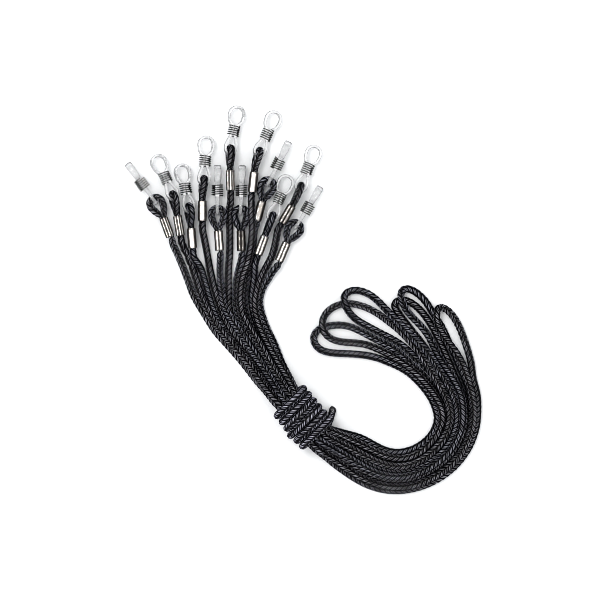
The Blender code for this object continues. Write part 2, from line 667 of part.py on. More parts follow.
def sweep(name, line, binormal, half_b, half_n, sides, material):
    """Closed solid with flat ends swept along a line; the section is a polygon on an
    ellipse with half sizes half_b along the binormal and half_n across it."""
    verts, faces = [], []
    for i, t in enumerate(tangents(line)):
        b = unit(binormal[i] - t * (binormal[i] @ t))
        across = np.cross(b, t)
        for j in range(sides):
            angle = 2 * math.pi * (j + 0.5) / sides
            verts.append(line[i] + b * half_b[i] * math.sin(angle)
                         + across * half_n[i] * math.cos(angle))
    last = (len(line) - 1) * sides
    for i in range(0, last, sides):
        for j in range(sides):
            k = (j + 1) % sides
            faces.append((i + j, i + k, i + sides + k, i + sides + j))
    faces.append(tuple(range(sides))[::-1])
    faces.append(tuple(last + j for j in range(sides)))
    make_object(name, verts, faces, material)


def make_object(name, verts, faces, material):
    """Object from vertices in millimetres, with its own copy of the material."""
    mesh = bpy.data.meshes.new(name)
    mesh.from_pydata([tuple(float(c) * MM for c in v) for v in verts], [], faces)
    mesh.update()
    ob = bpy.data.objects.new(name, mesh)
    bpy.context.scene.collection.objects.link(ob)
    turn_outward(mesh)
    mesh.materials.append(make_material(name, MATERIALS[material]))


def make_material(name, inputs):
    material = bpy.data.materials.new(name)
    material.use_nodes = True
    shader = material.node_tree.nodes["Principled BSDF"]
    for label, value in inputs.items():
        shader.inputs[label].default_value = value
    return material


def turn_outward(mesh):
    """Turns the faces outward, judged by the sign of the enclosed volume."""
    mesh.calc_loop_triangles()
    v = np.array([vertex.co for vertex in mesh.vertices], float)
    tri = np.array([triangle.vertices for triangle in mesh.loop_triangles])
    normal = np.cross(v[tri[:, 1]], v[tri[:, 2]])
    if np.einsum("ij,ij->i", v[tri[:, 0]], normal).sum() < 0:
        mesh.flip_normals()


# ------------------------------------------------------------------------------- the pieces
def make_cord(name, line, press, normal, first, last, keep):
    """Six-sided cord. Flats face across the binormal, so pressed legs lie flat on each
    other."""
    pick = thin_out(line, keep)
    binormal = binormals(line, normal, first, last)[pick]
    press = press[pick]
    half_n = CORD_R * (1 - press) + LEG_HALF * press
    half_b = CORD_R * (1 - press) + LEG_WIDE * press
    sweep(name, line[pick], binormal, half_b, half_n, CORD_SIDES, "cord")


def make_strap(number, middle, eye_a, eye_b):
    """Cord of one strap: eye path, settled middle, and the other eye path reversed."""
    points_a, press_a, normal_a = (part[:-1] for part in eye_a)
    points_b, press_b, normal_b = (part[:-1][::-1] for part in eye_b)
    line = np.vstack([points_a, middle, points_b])
    press = np.concatenate([press_a, np.zeros(len(middle)), press_b])
    normal = np.vstack([normal_a, np.repeat(eye_a[2][-1:], len(middle), 0), normal_b])
    first = len(points_a) - 1
    last = len(line) - len(points_b)
    keep = np.zeros(len(line), bool)
    keep[:first + 2] = True
    keep[last - 1:] = True
    make_cord("strap_cord_%d" % number, line, press, normal, first, last, keep)


def make_tie(line):
    n = len(line)
    make_cord("tie_cord", line, np.zeros(n), np.repeat(KNOT_AXIS[None], n, 0), 0, n,
              np.zeros(n, bool))


def make_ferrule(number, end):
    """Crimped tube: an eight-sided, nearly square section, open at both ends."""
    verts, faces = [], []

    def ring(radius, x):
        row = []
        for j in range(FERRULE_SIDES):
            angle = 2 * math.pi * (j + 0.5) / FERRULE_SIDES
            ca, sa = math.cos(angle), math.sin(angle)
            power = FERRULE_POWER
            r = radius * (abs(ca) ** power + abs(sa) ** power) ** (-1 / power)
            row.append(len(verts))
            verts.append(end.place(x, r * ca, r * sa))
        return row

    def strip(a, b):
        for j in range(FERRULE_SIDES):
            k = (j + 1) % FERRULE_SIDES
            faces.append((a[j], a[k], b[k], b[j]))

    outer_rear = ring(FERRULE_OUT, -FERRULE_LENGTH)
    outer_mouth = ring(FERRULE_OUT, 0.0)
    inner_rear = ring(FERRULE_OUT - FERRULE_WALL, -FERRULE_LENGTH)
    inner_mouth = ring(FERRULE_OUT - FERRULE_WALL, 0.0)
    strip(outer_rear, outer_mouth)
    strip(outer_mouth, inner_mouth)
    strip(inner_mouth, inner_rear)
    strip(inner_rear, outer_rear)
    make_object("ferrule_%02d" % number, verts, faces, "metal")


def connector_outline():
    """Half the centre line of the silicone band in its own plane, x from the rear end."""
    tip_outside = REACH + REAR_TO_FRONT + CORD_R
    tip_centre = tip_outside - BAND_THICK / 2 - TIP_HALF
    neck_start = COIL_MID - NECK_BEFORE
    neck_end = COIL_MID + NECK_AFTER
    points = []
    for degrees in (180, 145, 112):
        angle = math.radians(degrees)
        points.append((REAR_HALF + REAR_HALF * math.cos(angle), REAR_HALF * math.sin(angle)))
    for t in (0.0, 0.5, 1.0):
        points.append((REAR_LOBE_END + (neck_start - REAR_LOBE_END) * t,
                       REAR_HALF + (NECK_HALF - REAR_HALF) * smooth(t)))
    for t in (0.0, 0.5, 1.0):
        points.append((neck_end + (tip_centre - neck_end) * t,
                       NECK_HALF + (TIP_HALF - NECK_HALF) * smooth(t) ** 0.8))
    for degrees in (58, 18):
        angle = math.radians(degrees)
        points.append((tip_centre + TIP_HALF * math.cos(angle), TIP_HALF * math.sin(angle)))
    return points


def band_width(x):
    wide = BAND_WIDE_REAR + (BAND_WIDE_TIP - BAND_WIDE_REAR) * smooth((x - 9.0) / 7.0)
    return min(wide, BAND_WIDE_NECK) if 6.0 < x < 14.0 else wide


def make_connector(number, end):
    """Silicone loop: the half outline and its mirror image, with a rectangular section."""
    half = connector_outline()
    # the rearmost point lies on the axis and is not repeated
    ring = np.array(half + [(x, -y) for x, y in half[::-1] if y > 1e-6])
    n = len(ring)
    verts, faces = [], []
    for i in range(n):
        before = unit(ring[i] - ring[i - 1])
        after = unit(ring[(i + 1) % n] - ring[i])
        tangent = unit(before + after)
        # the ring runs clockwise, so the left of the tangent points outwards
        stretch = 1.0 / max(float(tangent @ before), 0.7)
        outward = np.array([-tangent[1], tangent[0]]) * stretch
        wide = band_width(ring[i][0])
        for u, v in ((1, 1), (1, -1), (-1, -1), (-1, 1)):
            x, y = ring[i] + outward * BAND_THICK / 2 * u
            verts.append(end.rear + end.along * x + end.side * y
                         + end.across * (wide / 2) * v)
    for i in range(n):
        j = (i + 1) % n
        for c in range(4):
            d = (c + 1) % 4
            faces.append((4 * i + c, 4 * i + d, 4 * j + d, 4 * j + c))
    make_object("silicone_loop_%02d" % number, verts, faces, "silicone")


def make_coil(number, end):
    """Sliding coil round the neck of the connector."""
    centre = end.rear + end.along * COIL_MID
    steps = int(COIL_TURNS * COIL_SIDES)
    line = []
    for i in range(steps + 1):
        angle = 2 * math.pi * i / COIL_SIDES
        along = (i / steps - 0.5) * COIL_TURNS * COIL_PITCH
        radial = end.across * math.cos(angle) + end.side * math.sin(angle)
        line.append(centre + end.along * along + radial * COIL_R)
    half = np.full(len(line), COIL_CORNER)
    sweep("coil_%02d" % number, np.array(line), [end.along] * len(line), half, half, 4,
          "steel")


def centre_on_origin(objects):
    """Moves the footprint's centre and the lowest point to the origin."""
    points = np.array([v.co for ob in objects for v in ob.data.vertices])
    low, high = points.min(0), points.max(0)
    shift = np.array([-(low[0] + high[0]) / 2, -(low[1] + high[1]) / 2, -low[2]])
    for ob in objects:
        for v in ob.data.vertices:
            v.co = [v.co[i] + shift[i] for i in range(3)]
        ob.data.update()


def main():
    for ob in list(bpy.data.objects):
        bpy.data.objects.remove(ob, do_unlink=True)
    eyes = [(eye_path(ALL_ENDS[a]), eye_path(ALL_ENDS[b])) for a, b in LANES]
    *middles, tie = settled_lines(eyes)
    for i, (middle, (eye_a, eye_b)) in enumerate(zip(middles, eyes)):
        make_strap(i + 1, middle, eye_a, eye_b)
    make_tie(tie)
    for number, end in enumerate(ALL_ENDS, 1):
        make_ferrule(number, end)
        make_connector(number, end)
        make_coil(number, end)
    objects = list(bpy.data.objects)
    centre_on_origin(objects)
    for ob in objects:
        # round pieces shade smooth, with their real edges kept sharp
        ob.data.shade_smooth()
        ob.data.set_sharp_from_angle(angle=SHARP_ANGLE)


main()
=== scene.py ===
"""Looks of a hank of six braided eyeglass retainer straps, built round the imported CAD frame.

The hank lies flat on the table, z up: twelve strap ends point towards +y, their strands run
down to a wound tie near the middle, and the folded middles lie on the +x side. The cords are
eight-strand braids in relief, swept along centre lines that are settled against each other.
Lengths are millimetres in the design's own frame, angles in tables are degrees from +X.
"""
import math

import bpy
import numpy as np
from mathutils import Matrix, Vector


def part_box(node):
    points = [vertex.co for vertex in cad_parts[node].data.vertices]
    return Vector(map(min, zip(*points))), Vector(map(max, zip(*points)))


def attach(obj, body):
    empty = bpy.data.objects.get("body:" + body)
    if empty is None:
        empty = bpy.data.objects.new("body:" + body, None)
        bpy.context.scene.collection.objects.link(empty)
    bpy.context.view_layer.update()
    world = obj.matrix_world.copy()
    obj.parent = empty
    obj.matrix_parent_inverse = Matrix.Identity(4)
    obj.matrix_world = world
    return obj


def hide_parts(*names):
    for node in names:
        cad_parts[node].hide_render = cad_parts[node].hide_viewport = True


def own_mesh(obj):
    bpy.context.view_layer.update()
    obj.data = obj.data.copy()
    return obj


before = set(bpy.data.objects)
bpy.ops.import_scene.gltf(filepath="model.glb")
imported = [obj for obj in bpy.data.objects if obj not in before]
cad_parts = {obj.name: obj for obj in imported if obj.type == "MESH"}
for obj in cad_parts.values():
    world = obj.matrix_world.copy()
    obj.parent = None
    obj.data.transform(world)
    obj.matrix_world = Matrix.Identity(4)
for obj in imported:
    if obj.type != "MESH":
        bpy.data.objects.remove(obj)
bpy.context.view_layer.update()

MM = 0.001

# ------------------------------------------------------------------------ driving dimensions
CORD_R = 1.45            # cord radius
CORD_PITCH = 3.22        # least distance between the centre lines of two cords that touch
LIE = 1.6                # height of the centre line of a cord that lies on the table
STEP = 1.5               # spacing of the points that describe a cord while it settles

EYE_LENGTH = 10.9        # ferrule mouth to the outside of the eye
EYE_HALF = 2.65          # eye centre line, half its width
LEG_OFFSET = 0.79        # the two legs of the eye inside the ferrule, off its axis
LEG_HALF = 0.72          # half the thickness of a pressed leg
LEG_WIDE = 1.36          # half its width
TAIL_IN = 7.7            # how far the folded-back tail reaches into the ferrule
BEND = 6.0               # length over which the eye turns from the ferrule's heading to its own

FERRULE_LENGTH = 8.4
FERRULE_OUT = 1.88       # half the outer size across the flats
FERRULE_WALL = 0.30

BAND_THICK = 1.2         # silicone band
BAND_WIDE_REAR = 1.5     # where it passes through the eye
BAND_WIDE_TIP = 3.0
REAR_HALF = 2.3          # rear lobe, centre line, half its width
TIP_HALF = 3.05          # front lobe, centre line, half its width
REACH = 16.6             # outside of the eye to the tip of the front lobe
COIL_CENTRE = 6.0        # outside of the eye to the middle of the coil

COIL_R = 2.28            # coil, centre line radius
COIL_LENGTH = 4.61       # from one end of the wire's centre line to the other
WIRE_R = 0.225

REAR_TO_FRONT = 2.6      # upright eye: rear band's centre to the centre of the eye's front
REAR_TO_FRONT_FLAT = 2.5 # the same in a flat eye
HEIGHT_UPRIGHT = 4.12    # axis height of an end whose eye stands upright
HEIGHT_FLAT = 3.56       # axis height of an end whose eye lies flat
DROOP = 3.0              # degrees that a connector droops to the table in an upright eye

# From the rear band's centre to the middle of the coil and to the outside of the tip.
TO_COIL = REAR_TO_FRONT + CORD_R + COIL_CENTRE
TO_TIP = REACH + REAR_TO_FRONT + CORD_R

# Where each end lies: ferrule mouth x, y; headings of the ferrule, of the eye's front and
# of the connector; eye upright "F" or flat "E"; how far an upright eye and its connector
# lean over to the right (degrees).
ENDS = [
    (-57.3, 34.4, 110.0, 123.0, 126.0, "E", 0.0),
    (-51.5, 35.3, 99.5, 103.0, 114.0, "F", 16.0),
    (-45.7, 30.1, 94.5, 96.0, 101.0, "F", 18.0),
    (-41.0, 41.6, 90.0, 83.5, 86.5, "F", 12.0),
    (-34.3, 29.1, 94.0, 91.5, 90.0, "E", 0.0),
    (-29.3, 54.4, 91.0, 88.0, 79.5, "F", 14.0),
    (-24.8, 29.0, 91.5, 90.0, 88.0, "E", 0.0),
    (-19.2, 53.6, 84.0, 71.5, 67.0, "F", 11.0),
    (-15.9, 41.4, 75.0, 67.0, 64.0, "E", 0.0),
    (-14.7, 26.9, 70.0, 68.5, 68.5, "F", 4.0),
    (-3.4, 39.5, 60.0, 68.0, 69.0, "F", 4.0),
    (-5.6, 24.0, 67.0, 55.5, 58.5, "E", 0.0),
]
# How each ferrule's sheet is folded, which also sets where its painted dark reflection lines
# run.
FOLDS = ("double", "double", "narrow", "narrow", "middle", "double",
         "middle", "narrow", "narrow", "middle", "middle", "middle")

# Fan line, where the strands still lie side by side: its y and the x of each strand.
FAN_Y = 8.0
FAN_X = [-46.4, -43.4, -40.4, -37.2, -34.0, -30.6, -27.4, -24.4, -22.0, -19.8, -17.6, -15.4]
# Strands of the longer ends pass between or over the shorter ones on their way: x, y, z.
VIA = {1: [(-45.2, 18.0, 1.6)], 3: [(-38.7, 18.0, 1.6)], 5: [(-29.6, 18.0, 1.6)],
       7: [(-19.3, 38.0, 4.6), (-19.2, 30.0, 5.9), (-20.4, 23.0, 5.6), (-21.4, 17.0, 3.6)],
       8: [(-19.9, 23.5, 1.6), (-19.3, 17.0, 1.6)], 10: [(-11.2, 18.0, 1.6)]}
# Descent from a ferrule to the table: distance behind it, share of its height still left.
DESCENT = ((6.0, 0.72), (10.0, 0.35), (15.0, 0.0))
DESCENT_SHORT = ((5.5, 0.8),)
SHORT_DESCENTS = (7, 8)  # strands that take the short one

# Stations of the bundle before and after the winding: centre x, y, width across the twelve
# strands, rise above the table.
BEFORE = [(-28.0, -6.3, 24.0, 0.0), (-21.9, -16.0, 18.5, 0.0),
          (-14.3, -27.0, 14.5, (1 / 3) ** 1.5 * 3.0)]
AFTER = [(16.8, -61.7, 15.0, 3.0), (24.8, -67.0, 17.5, 1.0), (34.2, -72.0, 17.5, 0.0),
         (44.7, -72.7, 16.5, 0.0), (54.6, -68.7, 16.5, 0.0), (62.0, -62.2, 17.3, 0.0),
         (66.6, -52.7, 17.6, 0.0), (66.6, -44.7, 18.2, 0.0), (64.0, -37.4, 20.5, 0.0)]
BUNDLE_FROM = (-28.0, FAN_Y, 0.0)      # set the direction of the first and last stations
BUNDLE_TO = (58.0, -28.0, 0.0)
ROWS = [1, 2, 0] * 4     # the row of each strand where the bundle is narrow

KNOT = (1.3, -49.0)      # middle of the winding
KNOT_HEADING = -50.0
KNOT_HALF = 10.4         # half the length of the winding
# Slots of the twelve strands inside the winding: nine round three, (angle, radius).
RING, CORE = 4.75, 1.80
SLOTS = [(180, RING), (140, RING), (220, RING), (120, CORE), (100, RING), (260, RING),
         (240, CORE), (60, RING), (300, RING), (0, CORE), (20, RING), (340, RING)]

# Folded middles, from the outer leg round to the inner leg: x, y, z.
LOOPS = [
    # strap 1
    ((46.2, -26.0, 1.6), (38.6, -20.2, 1.6), (32.6, -16.2, 1.6), (28.5, -13.3, 1.6),
     (23.9, -11.3, 1.6), (17.8, -9.9, 1.6), (11.7, -10.6, 1.6), (7.2, -11.6, 1.6),
     (4.9, -14.2, 1.6), (4.8, -17.5, 1.6), (8.2, -21.8, 1.6), (17.8, -22.5, 1.6),
     (28.0, -23.0, 1.6), (38.2, -25.6, 1.6), (44.3, -28.6, 1.6), (49.9, -33.7, 1.6)),
    # strap 2
    ((48.2, -20.5, 2.0), (43.3, -13.9, 1.6), (38.7, -9.3, 1.6), (32.6, -5.2, 1.6),
     (26.5, -2.2, 1.6), (20.4, -0.9, 1.6), (15.3, -1.6, 2.0), (11.2, -4.2, 3.6),
     (8.4, -8.8, 4.8), (8.4, -11.8, 4.8), (10.2, -15.4, 3.0), (14.2, -17.6, 1.6),
     (20.4, -17.9, 1.6), (27.0, -18.0, 1.6), (33.1, -20.2, 1.6), (41.0, -24.0, 1.6)),
    # strap 3
    ((54.0, -24.0, 3.0), (47.5, -15.5, 2.0), (42.5, -9.3, 1.6), (35.6, -3.7, 1.6),
     (32.6, 0.4, 1.6), (28.5, 3.4, 1.6), (23.9, 4.7, 1.6), (18.8, 3.9, 3.6),
     (17.0, 1.4, 4.6), (17.6, -1.1, 4.8), (19.9, -4.7, 4.0), (22.9, -8.8, 2.0),
     (27.5, -11.8, 1.6), (35.6, -15.9, 1.6), (43.3, -19.0, 1.6), (50.0, -23.8, 2.0)),
    # strap 4
    ((59.5, -20.5, 3.0), (55.4, -10.5, 2.0), (51.9, -5.2, 1.6), (48.4, -1.6, 1.6),
     (44.3, 0.6, 1.6), (40.7, 0.6, 1.6), (38.4, -1.1, 1.6), (38.9, -3.7, 1.6),
     (40.2, -6.7, 1.6), (43.3, -9.2, 1.6), (47.6, -14.3, 1.6), (53.0, -21.0, 2.0)),
    # strap 5
    ((63.3, -21.0, 3.0), (60.0, -12.0, 2.0), (56.0, -5.0, 1.8), (53.5, -0.6, 1.6),
     (49.9, 2.9, 1.6), (45.8, 5.5, 1.6), (42.8, 5.7, 3.0), (41.2, 2.9, 4.6),
     (41.7, -0.1, 4.8), (44.3, -4.2, 3.6), (47.8, -8.3, 2.0), (51.4, -10.8, 2.0),
     (55.5, -16.5, 2.0), (58.5, -22.5, 3.0)),
    # strap 6
    ((72.8, -28.1, 1.6), (70.8, -22.0, 1.6), (68.7, -15.4, 1.6), (66.7, -9.8, 1.6),
     (63.6, -5.2, 1.6), (60.1, -2.2, 1.6), (57.0, -2.2, 2.4), (56.3, -5.0, 4.0),
     (57.0, -9.8, 4.0), (59.6, -14.0, 4.0), (62.6, -18.4, 3.6), (66.2, -23.0, 3.0)),
]
# Strands of each strap: its outer leg, its inner leg.
LANES = [(9, 11), (7, 10), (6, 8), (3, 5), (2, 4), (0, 1)]
TIE = len(LANES)         # the tie's number among the cords

TIE_R = 8.00             # winding, centre line radius
TIE_TURNS = 6.0
TIE_PITCH = 3.30
TIE_SLACK = 1.1          # the winding stands off by this much on the lower left
SLACK_AT, SLACK_SPREAD = 2.6, 2.8      # along its axis
# Loose end of the tie: distance past the winding's end, to the left of its axis, up.
TIE_TAIL = ((0.3, 3.0, -TIE_R + 0.05), (0.1, 6.0, -7.2), (-1.4, 8.6, -6.0),
            (-3.2, 10.0, -4.6), (-4.8, 10.5, -3.0))


# ------------------------------------------------------------------------------ small maths
def smooth(t):
    t = min(max(t, 0.0), 1.0)
    return t * t * (3.0 - 2.0 * t)


def unit(v):
    return v / max(float(np.linalg.norm(v)), 1e-12)


def direction(angle):
    return np.array([math.cos(angle), math.sin(angle), 0.0])


def heading(degrees):
    return direction(math.radians(degrees))


def left_of(forward):
    return np.array([-forward[1], forward[0], 0.0])


UP = np.array([0.0, 0.0, 1.0])
KNOT_AXIS = heading(KNOT_HEADING)
KNOT_LEFT = left_of(KNOT_AXIS)
KNOT_FOOT = np.array([*KNOT, 0.0])
KNOT_HEIGHT = TIE_R + CORD_R + 0.05    # the winding just clears the table


def arc_length(line):
    return np.concatenate([[0.0], np.cumsum(np.linalg.norm(np.diff(line, axis=0), axis=1))])


def interpolate(at, stations, rows):
    return np.stack([np.interp(at, stations, rows[:, i]) for i in range(3)], axis=1)


def resample(line, step):
    """Evenly spaced points along a polyline."""
    s = arc_length(line)
    count = max(int(round(s[-1] / step)), 2)
    return interpolate(np.linspace(0.0, s[-1], count + 1), s, line)


def through(points, step=0.4):
    """Smooth curve through the control points (centripetal Catmull-Rom)."""
    p = np.asarray(points, float)
    p = np.vstack([2 * p[0] - p[1], p, 2 * p[-1] - p[-2]])
    out = []
    for i in range(1, len(p) - 2):
        p0, p1, p2, p3 = p[i - 1], p[i], p[i + 1], p[i + 2]
        t0 = 0.0
        t1 = t0 + max(np.linalg.norm(p1 - p0), 1e-6) ** 0.5
        t2 = t1 + max(np.linalg.norm(p2 - p1), 1e-6) ** 0.5
        t3 = t2 + max(np.linalg.norm(p3 - p2), 1e-6) ** 0.5
        count = max(int(np.linalg.norm(p2 - p1) / step), 2)
        t = np.linspace(t1, t2, count, endpoint=False)[:, None]
        a1 = (t1 - t) / (t1 - t0) * p0 + (t - t0) / (t1 - t0) * p1
        a2 = (t2 - t) / (t2 - t1) * p1 + (t - t1) / (t2 - t1) * p2
        a3 = (t3 - t) / (t3 - t2) * p2 + (t - t2) / (t3 - t2) * p3
        b1 = (t2 - t) / (t2 - t0) * a1 + (t - t0) / (t2 - t0) * a2
        b2 = (t3 - t) / (t3 - t1) * a2 + (t - t1) / (t3 - t1) * a3
        out.append((t2 - t) / (t2 - t1) * b1 + (t - t1) / (t2 - t1) * b2)
    out.append(p[-2][None])
    return np.vstack(out)


def rounded_square(cosines, sines, power):
    """Radius of a rounded square of half-width 1; a higher power gives sharper corners."""
    return (np.abs(cosines) ** power + np.abs(sines) ** power) ** (-1 / power)


# ------------------------------------------------------------------------ one end's own frame
class End:
    """Frame of one end: x runs out of the ferrule, y sideways, z up."""

    def __init__(self, row):
        x, y, self.ferrule_heading, self.eye_heading, self.connector_heading, kind, lean = row
        self.upright = kind == "F"
        self.lean = math.radians(lean)
        self.height = HEIGHT_UPRIGHT if self.upright else HEIGHT_FLAT
        self.mouth = np.array([x, y, self.height])
        self.turn = math.radians(self.eye_heading - self.ferrule_heading)
        steps = 20
        self.knee = self.mouth.copy()      # where the eye's bend ends
        angle = math.radians(self.ferrule_heading)
        for _ in range(steps):
            angle += self.turn / (2 * steps)
            self.knee = self.knee + direction(angle) * BEND / steps
            angle += self.turn / (2 * steps)

    def place(self, x, side, up):
        """World point of a place x along the axis, side to its left, up above it."""
        if x <= 0.0:
            forward = heading(self.ferrule_heading)
            centre = self.mouth + forward * x
        elif x >= BEND:
            forward = heading(self.eye_heading)
            centre = self.knee + forward * (x - BEND)
        else:
            steps = 12
            start = math.radians(self.ferrule_heading)
            centre = self.mouth.copy()
            for i in range(steps):
                angle = start + self.turn * (i + 0.5) / steps * x / BEND
                centre = centre + direction(angle) * x / steps
            forward = direction(start + self.turn * x / BEND)
        roll = self.lean * smooth(x / BEND)
        cr, sr = math.cos(roll), math.sin(roll)
        return centre + left_of(forward) * (side * cr - up * sr) + UP * (side * sr + up * cr)

    def eye(self, x, offset):
        """A point of the eye's plane: flat eyes open sideways, upright ones upwards."""
        return self.place(x, 0.0, offset) if self.upright else self.place(x, offset, 0.0)

    def connector_axes(self):
        """Axes of the connector: along it, square to its loop's plane, sideways in it."""
        forward = heading(self.connector_heading)
        left = left_of(forward)
        if not self.upright:
            return forward, left, UP
        droop = math.radians(DROOP)
        along = forward * math.cos(droop) - UP * math.sin(droop)
        up = UP * math.cos(droop) + forward * math.sin(droop)
        cr, sr = math.cos(self.lean), math.sin(self.lean)
        return along, up * cr - left * sr, left * cr + up * sr

    def connector_origin(self):
        """Centre of the rear band, close behind the eye's front."""
        front = self.place(EYE_LENGTH - CORD_R, 0, 0)
        back = REAR_TO_FRONT if self.upright else REAR_TO_FRONT_FLAT
        return front - heading(self.connector_heading) * back


ALL_ENDS = [End(row) for row in ENDS]


def eye_path(end):
    """Centre line from the tail's cut end round the eye and back out of the ferrule, how far
    the section is pressed (0 round, 1 pressed) and the direction square to the eye."""
    arc_x = EYE_LENGTH - EYE_HALF - CORD_R
    inside = -0.3            # just behind the ferrule's mouth
    leg = []                 # x, offset from the axis, press
    for x in (0.0, 1.3, 2.7, 4.6, arc_x):
        offset = LEG_OFFSET + (EYE_HALF - LEG_OFFSET) * smooth(x / arc_x)
        leg.append((x, offset, 1.0 - smooth(x / 3.3)))
    path = [(-TAIL_IN, LEG_OFFSET, 1.0), (inside, LEG_OFFSET, 1.0)] + leg
    for degrees in np.linspace(90, -90, 9)[1:-1]:
        a = math.radians(degrees)
        path.append((arc_x + EYE_HALF * math.cos(a), EYE_HALF * math.sin(a), 0.0))
    path += [(x, -offset, press) for x, offset, press in leg[::-1]]
    path += [(x, -LEG_OFFSET, 1.0) for x in (inside, -FERRULE_LENGTH + 0.9)]
    # the standing leg comes back to the ferrule's axis as it leaves it
    for x in (-FERRULE_LENGTH - 0.2, -FERRULE_LENGTH - 1.6, -FERRULE_LENGTH - 3.2):
        t = smooth((-FERRULE_LENGTH + 0.9 - x) / 4.1)
        press = 1.0 - smooth((-FERRULE_LENGTH + 0.5 - x) / 2.4)
        path.append((x, -LEG_OFFSET * (1 - t), press))
    line = np.array([end.eye(x, offset) for x, offset, _ in path])
    if end.upright:
        normal = np.array([end.place(x, 1.0, 0.0) - end.place(x, 0.0, 0.0) for x, _, _ in path])
    else:
        normal = np.array([UP] * len(path))
    return line, np.array([press for _, _, press in path]), normal


# -------------------------------------------------------------------- strands in the bundle
def bundle_points(strand, stations, before, after):
    """A strand's points at the stations; before and after are the centres next to them."""
    gaps = len(ENDS) - 1
    chain = [before] + [np.array([x, y, 0.0]) for x, y, _, _ in stations] + [after]
    points = []
    for i, (_, _, width, rise) in enumerate(stations):
        left = left_of(unit(chain[i + 2] - chain[i]))      # towards the inner strands
        spacing = (width - 3.0) / gaps
        row_height = math.sqrt(max(CORD_PITCH ** 2 - spacing ** 2, 0.0))
        p = chain[i + 1] + left * ((strand - gaps / 2) * spacing)
        points.append((p[0], p[1], LIE + ROWS[strand] * row_height * 0.95 + rise))
    return points


def lane_points(strand):
    """Control points of a strand from its ferrule to the end of the bundle."""
    end = ALL_ENDS[strand]
    points = []
    # out of the ferrule and down on to the table, turning towards the fan line
    back = heading(end.ferrule_heading)
    aim = VIA[strand][0] if strand in VIA else (FAN_X[strand], FAN_Y)
    to_fan = unit(np.array([aim[0] - end.mouth[0], aim[1] - end.mouth[1], 0.0]))
    for distance, share in DESCENT_SHORT if strand in SHORT_DESCENTS else DESCENT:
        straight = end.mouth - back * (FERRULE_LENGTH + distance)
        turned = end.mouth + to_fan * (FERRULE_LENGTH + distance)
        if turned[1] < FAN_Y + 4.0:
            break
        w = smooth(distance / 15.0)
        x, y = (straight[i] * (1 - w) + turned[i] * w for i in (0, 1))
        points.append((x, y, LIE + (end.height - LIE) * share))
    points += VIA.get(strand, [])
    points.append((FAN_X[strand], FAN_Y, LIE + 0.6 * ROWS[strand]))
    points += bundle_points(strand, BEFORE, np.array(BUNDLE_FROM), KNOT_FOOT)
    degrees, radius = SLOTS[strand]
    angle = math.radians(degrees)
    slot = (KNOT_LEFT * radius * math.cos(angle)
            + UP * (KNOT_HEIGHT + radius * math.sin(angle)))
    for s in np.linspace(-KNOT_HALF - 1.0, KNOT_HALF + 1.0, 5):
        points.append(tuple(KNOT_FOOT + KNOT_AXIS * s + slot))
    points += bundle_points(strand, AFTER, KNOT_FOOT + KNOT_AXIS * KNOT_HALF,
                            np.array(BUNDLE_TO))
    return points


def tie_path():
    """The winding, a close helix round the bundle, and the loose end beside it on the right;
    also the number of points in the helix."""
    centre = np.array([*KNOT, KNOT_HEIGHT])
    start = math.radians(-90.0) - 2 * math.pi * TIE_TURNS
    count = int(TIE_TURNS * 26)
    length = TIE_TURNS * TIE_PITCH
    points = []
    for i in range(count + 1):
        t = i / count
        angle = start + 2 * math.pi * TIE_TURNS * t
        s = -length / 2 + length * t
        wide = TIE_R
        if math.cos(angle) < 0:
            wide += TIE_SLACK * math.exp(-((s - SLACK_AT) / SLACK_SPREAD) ** 2)
        points.append(centre + KNOT_AXIS * s + KNOT_LEFT * wide * math.cos(angle)
                      + UP * TIE_R * math.sin(angle))
    for past, left, up in TIE_TAIL:
        points.append(centre + KNOT_AXIS * (length / 2 + past) + KNOT_LEFT * left + UP * up)
    return np.array(points), count + 1


# ---------------------------------------------------------------- settling the cords together
SETTLE_STEPS = 520
CALM_STEPS = 90          # the last steps, with only a light smoothing
CALM_EVERY = 3           # the light smoothing comes every so many steps
SEARCH_EVERY = 8         # steps between searches for neighbours
CORD_MARGIN = 1.6        # how far beyond contact the search looks for cords
OBSTACLE_MARGIN = 1.0    # the same for obstacles
SAME_CORD_GAP = 6        # points of one cord this close in number never push each other
SINK = 0.05              # fall per step
HOME = 0.07              # pull back to the first x, y
NEAR_SMOOTHING, WIDE_SMOOTHING, CALM_SMOOTHING = 0.22, 0.06, 0.12
STRETCH, CORD_PUSH, OBSTACLE_PUSH = 0.35, 0.5, 0.6   # share of an error mended at a time
FLOOR = CORD_R + 0.06


def cord_pairs(points, cord, index, fixed):
    """Numbers of the points that may touch each other."""
    pairs = []
    block = 400
    for first in range(0, len(points), block):
        d2 = ((points[first:first + block, None, :] - points[None, :, :]) ** 2).sum(2)
        i, j = np.where(d2 < (CORD_PITCH + CORD_MARGIN) ** 2)
        i = i + first
        near_in_cord = (cord[i] == cord[j]) & (np.abs(index[i] - index[j]) < SAME_CORD_GAP)
        keep = (j > i) & ~near_in_cord & ~(fixed[i] & fixed[j])
        pairs.append(np.stack([i[keep], j[keep]], 1))
    return np.vstack(pairs).T


def overlaps(a, b, clearance):
    """Vectors from b to a, their lengths and how far each falls short of the clearance."""
    d = a - b
    length = np.linalg.norm(d, axis=1)
    return d, length, clearance - length


